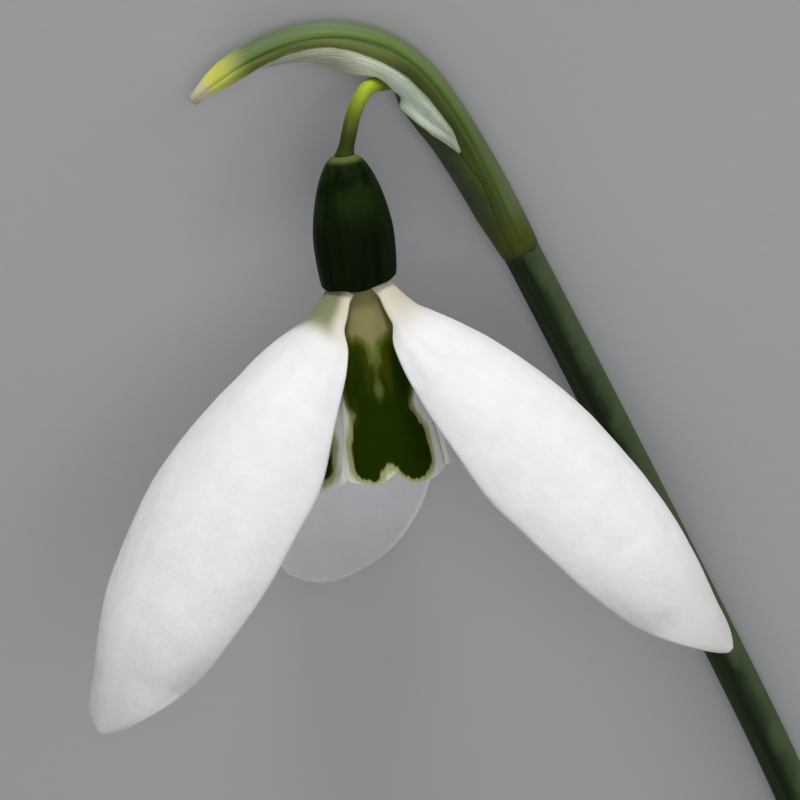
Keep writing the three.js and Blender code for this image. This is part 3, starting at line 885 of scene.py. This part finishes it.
def stamen_tissue(name, colours, change):
    """Tissue that goes from one colour to the next at a share of the length."""
    material, tree = new_material(name)
    base, top, patch = colours
    flesh = use_group(tree, FLESH, Grain=8.0, Mottle=1.6)
    veins = use_group(tree, VEINS, Across=3.0, Along=0.6)
    patched = mix(tree, flesh["Patches"], top, patch, 0.5)
    streaked = mix(tree, veins["Ridge"], patched, patch, 0.3)
    colour = blend(tree, reading(tree, "grow"), (change - COLOUR_CHANGE, change + COLOUR_CHANGE),
                   base, streaked)
    return finish_material(material, colour, flesh["Height"], STAMEN_RELIEF, STAMEN_FINISH)


anther_colours = (FILAMENT_WHITE, ANTHER_YELLOW, ANTHER_BROWN)
anther_tissue = stamen_tissue("anther_yellow", anther_colours, ANTHER_FROM)
for number in range(1, STAMENS + 1):
    finish_piece(stamen(number), anther_tissue, "anther", f"stamen_{number}")

style = stalk(
    "style_piece",
    [Vector((0, 0, STYLE_LENGTH * i / STYLE_STEPS)) for i in range(STYLE_STEPS + 1)],
    [STYLE_RADIUS * (1 - STYLE_NARROWS * i / STYLE_STEPS) for i in range(STYLE_STEPS + 1)],
    STALK_SIDES,
)
style.data.transform(HEAD)
style_colours = (FILAMENT_WHITE, FILAMENT_WHITE, STYLE_TIP)
style_tissue = stamen_tissue("style_white", style_colours, STYLE_TIP_FROM)
finish_piece(style, style_tissue, "inner_petal", "style")


# -------------------- spathe
# The green sheath over the flower: two keeled bracts grown into one. It wraps round the top of
# the scape, opens along the inside of its arch and ends in a withered beak.
# Its middle line lies on the board in arcs of (length, turn in degrees) from the node, where the
# scape ends. Lengths are in millimetres.
NODE_AT = Vector((7.68, 3.26, 0))
NODE_HEADING = 113
NODE_HEIGHT = 1.65
ARCH = ((9, 6.2), (4, 6.8), (5, 33.9), (5, 33.5), (6.9, 36))
ARCH_LENGTH = sum(length for length, _ in ARCH)
TOUCH_AT = 17
BEAK_RISE = 2.2
# (distance from the node, value): radius, rise of the keel, margins in degrees round the arch
SPATHE_RADIUS = (
    (0, 1.3), (9, 1.34), (13, 1.5), (17.5, 1.58), (21, 1.25), (24, 1.05), (27, 0.92), (29, 0.62),
    (29.9, 0.42),
)
KEEL_AT = 168
KEEL_RISE = ((0, 0.05), (3, 0.4), (11, 0.6), (13, 0.5), (15.5, 0))
OUTER_MARGIN = (
    (0, 106), (2.7, 106), (4.3, 98), (5.4, 91), (6.6, 94), (7.6, 102), (8.7, 98), (10, 80), (20, 76),
    (23, 98), (26, 140), (29.9, 150),
)
INNER_MARGIN = (
    (0, 98), (2.7, 98), (4.3, 91), (5.4, 84), (6.6, 87), (8, 95), (9, 98), (11.2, 129), (13.4, 147),
    (14.4, 204), (16, 240), (18, 268), (22, 266), (25, 226), (29.9, 214),
)
MARGIN_WAVES = ((3, 0.9, 2), (2, 2.3, 4))  # (degrees, waves a millimetre, start)
# the fold of the upper bract, and how far the margin of the lower one is tucked under it
FOLD = (
    (0, 69), (3, 68), (5, 61), (8, 55), (11, 49), (14, 45), (16.5, 40), (19, 46), (24, 70), (29.9, 90),
)
FOLD_DEPTH = 0.1
FOLD_HALF_WIDTH = 8
TUCKED = 0.16
TUCKED_WIDTH = 14
TUCKED_UNTIL = 14
FOOT_SINKS = 0.12
SPATHE_FOOT = -0.5
SPATHE_WALL = 0.34
SPATHE_RIDGES = 0.018
WITHERS_FROM = 27.5
WITHERED_FOLDS = 0.3
INSIDE_SOLID = 0.03  # sheets stay this far inside their solids
SPATHE_GRID = (56, 110)
SPATHE_THIN_EDGE = 0.45
SPATHE_RELIEF = (0.4, 0.00006)
SPATHE_FINISH = {
    "Roughness": 0.5, "Specular IOR Level": 0.2, "Subsurface Weight": 0.1, "Subsurface Scale": 0.0004,
}
SPATHE_GREEN = (0.12, 0.20, 0.040, 1)
# painted shade in the fold and on the lower bract, and the colour of the veins
SPATHE_SHADE_AND_VEINS = (0.045, 0.070, 0.010, 1)
SPATHE_BLOOM = (0.15, 0.20, 0.10, 1)
SPATHE_CREASE = (0.15, 0.175, 0.04, 1)
SPATHE_GROOVE = (0.050, 0.068, 0.010, 1)
SPATHE_DUSK = (0.075, 0.085, 0.035, 1)
# painted shade at the tucked margin of the lower bract
SPATHE_KEEL_SHADE = (0.042, 0.052, 0.028, 1)
SPATHE_INSIDE = (0.17, 0.22, 0.06, 1)
SPATHE_BASE = (0.060, 0.072, 0.004, 1)
SPATHE_FOOT_GREEN = (0.020, 0.034, 0.012, 1)
BEAK_YELLOW = (0.70, 0.72, 0.12, 1)
BEAK_CREAM = (0.66, 0.62, 0.40, 1)
BEAK_BROWN = (0.34, 0.22, 0.16, 1)
# where a colour starts and is full, along the arch, as shares of its length from the node
DUSK_AT = (0.42, 0.26)
GROOVE_AT = (0.58, 0.50)
BEAK_BROWN_AT = (0.965, 0.995)
ALONG_SPATHE = (
    (0.13, 0.02, SPATHE_BASE), (0.018, -0.012, SPATHE_FOOT_GREEN), (0.83, 0.94, BEAK_YELLOW),
    (0.93, 0.965, BEAK_CREAM),
)
# and across it, in degrees from the fold (the first three) or round the arch
BLOOM_AT = (-12, -40)
CREASE_AT = (4, 16)
# the dark line of painted shade along the fold
FOLD_SHADE_AT = (15, 3)
# painted shade on the lower bract
KEEL_SHADE_AT = (-262, -240)
LOWER_BRACT_AT = (-172, -196)


def along_pairs(pairs, at):
    """The value at a place, from pairs of (place, value), on straight lines between them."""
    for (place0, value0), (place1, value1) in zip(pairs, pairs[1:]):
        if at < place1:
            return value0 + (value1 - value0) * max(at - place0, 0) / (place1 - place0)
    return pairs[-1][1]


def walk_arcs(start, heading, arcs, distance):
    """Place and heading after a walk of some distance along arcs on the board."""
    x, y = start.x, start.y
    angle = radians(heading)
    left = distance
    for length, turn in arcs:
        walked = min(left, length)
        bend = radians(turn) / length
        x += (sin(angle + bend * walked) - sin(angle)) / bend
        y -= (cos(angle + bend * walked) - cos(angle)) / bend
        angle += bend * walked
        left -= walked
        if left <= 0:
            break
    return x, y, angle


def arch_height(distance):
    """Height of the middle line: it sinks from the node to the board, and its beak rises again."""
    before = (NODE_HEIGHT - along_pairs(SPATHE_RADIUS, 0)) * max(1 - distance / TOUCH_AT, 0) ** 2
    after = BEAK_RISE * max((distance - TOUCH_AT) / (ARCH_LENGTH - TOUCH_AT), 0) ** 1.5
    return along_pairs(SPATHE_RADIUS, distance) + before + after


def bract_radius(distance, degrees):
    keel = max(cos(radians(degrees - KEEL_AT)), 0) ** 2
    return along_pairs(SPATHE_RADIUS, distance) + along_pairs(KEEL_RISE, distance) * keel


def on_arch(distance, degrees, radius):
    """A place round the arch: 0 degrees faces out of it, 90 degrees faces up."""
    x, y, angle = walk_arcs(NODE_AT, NODE_HEADING, ARCH, distance)
    out, up = radius * cos(radians(degrees)), radius * sin(radians(degrees))
    return Vector((x + out * sin(angle), y - out * cos(angle), arch_height(distance) + up))


def ragged(distance, waves):
    """How far the run of a margin strays, in degrees."""
    return sum(size * noise.noise(Vector((distance * grain, start, 0))) for size, grain, start in waves)


BOARD_PLACE = Matrix.Scale(MM, 4) @ Matrix.Translation(-MIDDLE)


def spathe_body():
    piece, shares = lay_grid("spathe_bracts", *SPATHE_GRID)
    skin, turns, folds, grow = [], [], [], []
    for vertex, (across, along) in zip(piece.data.vertices, shares):
        distance = SPATHE_FOOT + (ARCH_LENGTH - SPATHE_FOOT) * along
        start = along_pairs(INNER_MARGIN, distance) - 360
        end = along_pairs(OUTER_MARGIN, distance) + ragged(distance, MARGIN_WAVES)
        degrees = start + (end - start) * (across + 1) / 2
        # the foot ends in an uneven line on the scape
        distance += 0.35 * (1 - along) ** 40 * noise.noise(Vector((degrees * 0.03, 5, 0)))
        withered = soft_step((distance - WITHERS_FROM) / (ARCH_LENGTH - WITHERS_FROM))
        off_fold = degrees - along_pairs(FOLD, distance)
        radius = bract_radius(distance, degrees) - SPATHE_WALL / 2 - INSIDE_SOLID
        radius += SPATHE_RIDGES * cos(radians(degrees) * 11) * (1 - withered)
        radius -= FOLD_DEPTH * soft_hump(off_fold, 0, FOLD_HALF_WIDTH) * (1 - withered)
        tucked = soft_step((start + TUCKED_WIDTH - degrees) / TUCKED_WIDTH)
        radius -= TUCKED * tucked * soft_step((TUCKED_UNTIL - distance) / 3)
        radius -= FOOT_SINKS * soft_step(-distance / 0.4)
        radius *= 1 - withered * WITHERED_FOLDS * (0.5 + 0.5 * cos(radians(degrees) * 3 + 1))
        vertex.co = on_arch(distance, degrees, max(radius, 0.05))
        skin.append(Vector((radius * cos(radians(degrees)), radius * sin(radians(degrees)), distance)))
        turns.append(degrees)
        folds.append(off_fold)
        grow.append(distance / ARCH_LENGTH)
    write_attributes(piece, skin=skin, turn=turns, fold=folds, grow=grow)
    piece.data.update()
    thicken(piece, SPATHE_WALL, SPATHE_THIN_EDGE, shares)
    piece.data.transform(BOARD_PLACE)
    return piece


def spathe_tissue():
    material, tree = new_material("green_bract")
    grow, turn = reading(tree, "grow"), reading(tree, "turn")
    flesh = use_group(tree, FLESH, Grain=4.5, Mottle=0.5)
    veins = use_group(tree, VEINS, Across=2.4, Along=0.10)
    # across the upper bract: bloom on its outer side, a dark line of painted shade along the fold,
    # then an olive strip to the margin
    off_fold = reading(tree, "fold")
    bloom = blend(tree, off_fold, BLOOM_AT, SPATHE_GREEN, SPATHE_BLOOM)
    dusk = blend(tree, grow, DUSK_AT, bloom, SPATHE_DUSK, 0.45)
    crease = blend(tree, grow, GROOVE_AT, SPATHE_CREASE, SPATHE_GROOVE)
    strip = blend(tree, off_fold, CREASE_AT, dusk, crease)
    fold_shaded = blend(tree, maths(tree, "ABSOLUTE", off_fold, 0.0), FOLD_SHADE_AT, strip, SPATHE_SHADE_AND_VEINS, 0.8)
    # painted shade: the lower bract, which lies in shadow, is dark, most of all at the margin that is
    # tucked under
    lower = blend(tree, turn, KEEL_SHADE_AT, SPATHE_SHADE_AND_VEINS, SPATHE_KEEL_SHADE)
    sides = blend(tree, turn, LOWER_BRACT_AT, fold_shaded, lower)
    streaked = mix(tree, veins["Streak"], sides, SPATHE_SHADE_AND_VEINS, 0.3)
    colour = mix(tree, flesh["Patches"], streaked, SPATHE_GREEN, 0.12)
    for start, full, next_colour in ALONG_SPATHE:
        colour = blend(tree, grow, (start, full), colour, next_colour)
    brown = blend(tree, grow, BEAK_BROWN_AT, colour, BEAK_BROWN, flesh["Patches"])
    colour = mix(tree, reading(tree, "outside"), SPATHE_INSIDE, brown)
    height = plus(tree, flesh["Height"], veins["Streak"])
    return finish_material(material, colour, height, SPATHE_RELIEF, SPATHE_FINISH)


finish_piece(spathe_body(), spathe_tissue(), "spathe", "spathe")


# -------------------- membrane
# Thin papery skin between the two bracts, pale and veined, with a dry crinkled edge that hangs
# free over the opening. It grows from the margin of the upper bract.
# (distance from the node, value): degrees round the arch of its free edge, and how far that flares
MEMBRANE_EDGE = (
    (8.5, 100), (9.6, 115), (11.2, 133), (13.4, 157), (14.3, 154), (15.2, 138), (16.2, 132), (18, 138),
    (20.5, 146), (23.5, 146), (24.7, 134),
)
MEMBRANE_FLARE = ((8.5, 0), (16.6, 0), (18.6, 0.4), (20.5, 0.3), (22, 0.12), (24.7, 0))
MEMBRANE_WAVES = ((3.5, 1.1, 0), (1.5, 3.1, 7))
MEMBRANE_THICKNESS = 0.14
MEMBRANE_OVERLAP = 4
MEMBRANE_SUNK = 0.2
MEMBRANE_OVER_BRACT = 0.08
MEMBRANE_CRINKLE = 0.06
MEMBRANE_GRID = (20, 72)
MEMBRANE_THIN_EDGE = 0.6
MEMBRANE_RELIEF = (0.5, 0.00006)
MEMBRANE_FINISH = {
    "Roughness": 0.5, "Specular IOR Level": 0.2, "Subsurface Weight": 0.6, "Subsurface Scale": 0.0006,
}
MEMBRANE_PAPER = (0.44, 0.45, 0.36, 1)
MEMBRANE_BRIGHT = (0.80, 0.82, 0.68, 1)
MEMBRANE_GREEN = (0.26, 0.34, 0.14, 1)
MEMBRANE_EDGE_COLOUR = (0.66, 0.62, 0.36, 1)
MEMBRANE_SPOT = (0.16, 0.10, 0.04, 1)
# it is bright in one stretch of the arch's length; the other places are shares of its width
BRIGHT_FROM = (0.32, 0.40)
BRIGHT_UNTIL = (0.66, 0.56)
PAPER_FROM = (0.0, 0.3)
EDGE_AT = (0.88, 0.97)
SPOTS_FROM = (0.7, 0.95)


def membrane_sheet():
    piece, shares = lay_grid("spathe_paper", *MEMBRANE_GRID)
    first, last = MEMBRANE_EDGE[0][0], MEMBRANE_EDGE[-1][0]
    skin, reach, grow = [], [], []
    for vertex, (across, along) in zip(piece.data.vertices, shares):
        distance = first + (last - first) * along
        start = along_pairs(OUTER_MARGIN, distance) - MEMBRANE_OVERLAP
        end = along_pairs(MEMBRANE_EDGE, distance) + ragged(distance, MEMBRANE_WAVES)
        part = (across + 1) / 2
        degrees = start + (end - start) * part
        bare = along_pairs(SPATHE_RADIUS, distance)
        radius = bare - MEMBRANE_THICKNESS / 2 - INSIDE_SOLID
        radius += along_pairs(MEMBRANE_FLARE, distance) * part - MEMBRANE_SUNK * (1 - part) ** 4
        # where the lower bract is near, the membrane lies over its margin
        over = soft_step((degrees - along_pairs(INNER_MARGIN, distance) + 14) / 12)
        radius += over * (bract_radius(distance, degrees) - bare + MEMBRANE_OVER_BRACT)
        radius += MEMBRANE_CRINKLE * part * noise.noise(Vector((distance * 0.9, part * 2, 3)))
        vertex.co = on_arch(distance, degrees, radius)
        skin.append(Vector((radius * radians(degrees), 0, distance)))
        grow.append(distance / ARCH_LENGTH)
        reach.append(part)
    write_attributes(piece, skin=skin, reach=reach, grow=grow)
    thicken(piece, MEMBRANE_THICKNESS, MEMBRANE_THIN_EDGE, shares)
    piece.data.transform(BOARD_PLACE)
    return piece


def membrane_tissue():
    material, tree = new_material("bract_paper")
    reach, grow = reading(tree, "reach"), reading(tree, "grow")
    flesh = use_group(tree, FLESH, Grain=5.0, Mottle=0.8)
    veins = use_group(tree, VEINS, Across=2.2, Along=0.35)
    specks = use_group(tree, SPECKS, Cells=0.8, Size=0.12)
    bright = times(tree, step_up(tree, grow, *BRIGHT_UNTIL), step_up(tree, grow, *BRIGHT_FROM))
    paper = mix(tree, bright, MEMBRANE_PAPER, MEMBRANE_BRIGHT)
    green = blend(tree, reach, PAPER_FROM, MEMBRANE_GREEN, paper)
    veined = mix(tree, veins["Ridge"], green, MEMBRANE_GREEN, 0.12)
    edged = blend(tree, reach, EDGE_AT, veined, MEMBRANE_EDGE_COLOUR)
    spots = times(tree, specks["Speck"], step_up(tree, reach, *SPOTS_FROM))
    colour = mix(tree, spots, edged, MEMBRANE_SPOT)
    height = plus(tree, flesh["Height"], veins["Ridge"])
    return finish_material(material, colour, height, MEMBRANE_RELIEF, MEMBRANE_FINISH)


finish_piece(membrane_sheet(), membrane_tissue(), "membrane", "spathe_membrane")


# -------------------- pedicel
# The thin bright green stalk of the flower. It runs hidden in the spathe from the node, comes out
# through its opening and bends over to the shoulder of the ovary. Sizes are in millimetres.
PEDICEL_RADIUS = 0.48
PEDICEL_HIDDEN_RADIUS = 0.4
PEDICEL_LEAVES = 13.5
PEDICEL_WIDENS = 0.1
PEDICEL_FOOT = 0.16
PEDICEL_FOOT_REACH = 0.5
PEDICEL_SIDES = 24
PEDICEL_SPAN_STEPS = 10
# places on its way: in the spathe, by distance from the node, then free, and sunk in the ovary
PEDICEL_HIDDEN_AT = (0.1, 4, 8)
PEDICEL_SUNK = 0.25
PEDICEL_FREE = (
    (-0.3, 15.35, 1.75), (-1.32, 15.4, 2.05), (-2.0, 15.65, 3.0), (-2.5, 15.72, 4.6), (-2.9, 15.55, 6.4),
    (-3.16, 15.0, 7.75),
)
# painted light and shade: bright where the stalk is lit after it leaves the spathe, darker towards the
# ovary
PEDICEL_LIT_GREEN = (0.44, 0.54, 0.04, 1)
PEDICEL_SHADE_AND_STREAKS = (0.030, 0.042, 0.003, 1)
PEDICEL_BEND = (0.16, 0.18, 0.012, 1)
# where a colour starts and is full, as shares of the stalk's length
PEDICEL_LIT_AT = (0.66, 0.71)
PEDICEL_SHADE_AT = (0.72, 0.96)
PEDICEL_RELIEF = (0.35, 0.00005)
PEDICEL_FINISH = {
    "Roughness": 0.42, "Specular IOR Level": 0.12, "Subsurface Weight": 0.15, "Subsurface Scale": 0.0004,
}


def through_points(points, steps):
    """A smooth curve through points, as evenly many places between each two of them."""
    ends = [2 * points[0] - points[1], *points, 2 * points[-1] - points[-2]]
    places = []
    for before, start, end, after in zip(ends, ends[1:], ends[2:], ends[3:]):
        for k in range(steps):
            t = k / steps
            places.append(0.5 * (2 * start + (end - before) * t
                                 + (2 * before - 5 * start + 4 * end - after) * t ** 2
                                 + (3 * start - before - 3 * end + after) * t ** 3))
    return places + [points[-1]]


def pedicel_stalk():
    to_board = BOARD_PLACE.inverted() @ HEAD
    points = [on_arch(distance, 0, 0) for distance in (*PEDICEL_HIDDEN_AT, PEDICEL_LEAVES)]
    points += [Vector(place) for place in PEDICEL_FREE]
    points.append(to_board @ Vector((0, 0, PEDICEL_SUNK - OVARY_LENGTH)))
    places = through_points(points, PEDICEL_SPAN_STEPS)
    walked = distances_along(places)
    radii = []
    for distance in walked:
        free = soft_step((distance - PEDICEL_LEAVES) / walked[-1] / PEDICEL_WIDENS)
        foot = PEDICEL_FOOT * soft_hump(distance, walked[-1], PEDICEL_FOOT_REACH)
        radii.append(PEDICEL_HIDDEN_RADIUS + (PEDICEL_RADIUS - PEDICEL_HIDDEN_RADIUS) * free + foot)
    piece = stalk("pedicel_stalk", places, radii, PEDICEL_SIDES)
    piece.data.transform(BOARD_PLACE)
    return piece


def pedicel_tissue():
    material, tree = new_material("fresh_stalk")
    grow = reading(tree, "grow")
    flesh = use_group(tree, FLESH, Grain=6.0, Mottle=0.8)
    veins = use_group(tree, VEINS, Across=3.2, Along=0.12)
    # painted light on the stalk where it leaves the spathe, then painted shade towards the ovary, whose
    # colour also darkens the streaks
    lit_green = blend(tree, grow, PEDICEL_LIT_AT, PEDICEL_BEND, PEDICEL_LIT_GREEN)
    deep = blend(tree, grow, PEDICEL_SHADE_AT, lit_green, PEDICEL_SHADE_AND_STREAKS)
    colour = mix(tree, veins["Streak"], deep, PEDICEL_SHADE_AND_STREAKS, 0.2)
    height = plus(tree, flesh["Height"], veins["Streak"])
    return finish_material(material, colour, height, PEDICEL_RELIEF, PEDICEL_FINISH)


finish_piece(pedicel_stalk(), pedicel_tissue(), "pedicel", "pedicel")


# -------------------- scape
# The solid fleshy flower stem, dark green with faint ridges, and paler along one side, partly from
# its bloom and partly from painted light. It lies along the board from the node to a clean cut end.
# Sizes are in millimetres.
SCAPE_KINK = 2
SCAPE_ARCS = ((40, -1.2), (35, -9))
SCAPE_LENGTH = sum(length for length, _ in SCAPE_ARCS)
SCAPE_RADIUS = 1.25
SCAPE_CUT_RADIUS = 1.4
SCAPE_SIDES = 32
SCAPE_STEPS = 150
SCAPE_RIDGES = 0.02
SCAPE_GREEN = (0.022, 0.038, 0.013, 1)
SCAPE_DARK = (0.008, 0.016, 0.005, 1)
# the bloom together with painted light on the lit side
SCAPE_BLOOM_AND_LIGHT = (0.066, 0.094, 0.042, 1)
CUT_INSETS = (0.08, 0.2, 0.35)
CUT_RIND = (0.16, 0.24, 0.07, 1)
CUT_PITH = (0.40, 0.48, 0.24, 1)
# the side that faces this way is paler, partly from the bloom that stayed there and partly from painted
# light
LIT_BLOOM_SIDE = Vector((0.85, 0.42, 0.3)).normalized()
LIT_BLOOM_AT_SIDE = (0.35, 1.0)
# how far from the rind each colour of the cut starts and is full, as shares of its radius
RIND_AT = (0.01, 0.05)
PITH_AT = (0.15, 0.35)
SCAPE_RELIEF = (0.4, 0.00006)
SCAPE_FINISH = {"Roughness": 0.5, "Specular IOR Level": 0.1}


def scape_stalk():
    places, radii = [], []
    for i in range(SCAPE_STEPS + 1):
        share = i / SCAPE_STEPS
        radius = SCAPE_RADIUS + (SCAPE_CUT_RADIUS - SCAPE_RADIUS) * share
        x, y, _ = walk_arcs(NODE_AT, NODE_HEADING - 180 + SCAPE_KINK, SCAPE_ARCS, SCAPE_LENGTH * share)
        places.append(Vector((x, y, radius + (NODE_HEIGHT - SCAPE_RADIUS) * (1 - share ** 3))))
        radii.append(radius - SCAPE_RIDGES)
    piece = stalk("scape_stalk", places, radii, SCAPE_SIDES)
    turns = [2 * pi * (k % SCAPE_SIDES) / SCAPE_SIDES for k in range(len(piece.data.vertices))]
    raise_relief(piece, [SCAPE_RIDGES * (cos(5 * turn) - 0.5) for turn in turns])
    # how far each place faces the side of the bloom and the painted light
    write_attributes(piece, bloom=[vertex.normal.dot(LIT_BLOOM_SIDE) for vertex in piece.data.vertices])
    # the cut shows a pale green rind round a paler middle
    bpy.ops.object.mode_set(mode="EDIT")
    bpy.ops.mesh.select_all(action="DESELECT")
    bpy.ops.mesh.select_face_by_sides(number=SCAPE_SIDES)
    for inset in CUT_INSETS:
        bpy.ops.mesh.inset(thickness=inset)
    bpy.ops.object.mode_set(mode="OBJECT")
    end, onward = places[-1], (places[-1] - places[-2]).normalized()
    cut = []
    for vertex in piece.data.vertices:
        on_cut = abs((vertex.co - end).dot(onward)) < CUT_INSETS[0] / 2
        cut.append(max(1 - (vertex.co - end).length / radii[-1], 0) if on_cut else 0)
    write_attributes(piece, cut=cut)
    piece.data.transform(BOARD_PLACE)
    return piece


def scape_tissue():
    material, tree = new_material("flower_stem")
    flesh = use_group(tree, FLESH, Grain=4.5, Mottle=0.4)
    veins = use_group(tree, VEINS, Across=2.0, Along=0.06)
    green = mix(tree, veins["Streak"], SCAPE_DARK, SCAPE_GREEN)
    worn = times(tree, maths(tree, "SUBTRACT", flesh["Patches"], 0.5), 0.25)
    # the side facing the light is paler, from its bloom, worn in patches, and from painted light
    bloom = plus(tree, reading(tree, "bloom"), worn)
    skin = blend(tree, bloom, LIT_BLOOM_AT_SIDE, green, SCAPE_BLOOM_AND_LIGHT)
    cut = reading(tree, "cut")
    cut_face = blend(tree, cut, PITH_AT, CUT_RIND, CUT_PITH)
    colour = blend(tree, cut, RIND_AT, skin, cut_face)
    height = plus(tree, flesh["Height"], veins["Streak"])
    return finish_material(material, colour, height, SCAPE_RELIEF, SCAPE_FINISH)


finish_piece(scape_stalk(), scape_tissue(), "scape", "scape")
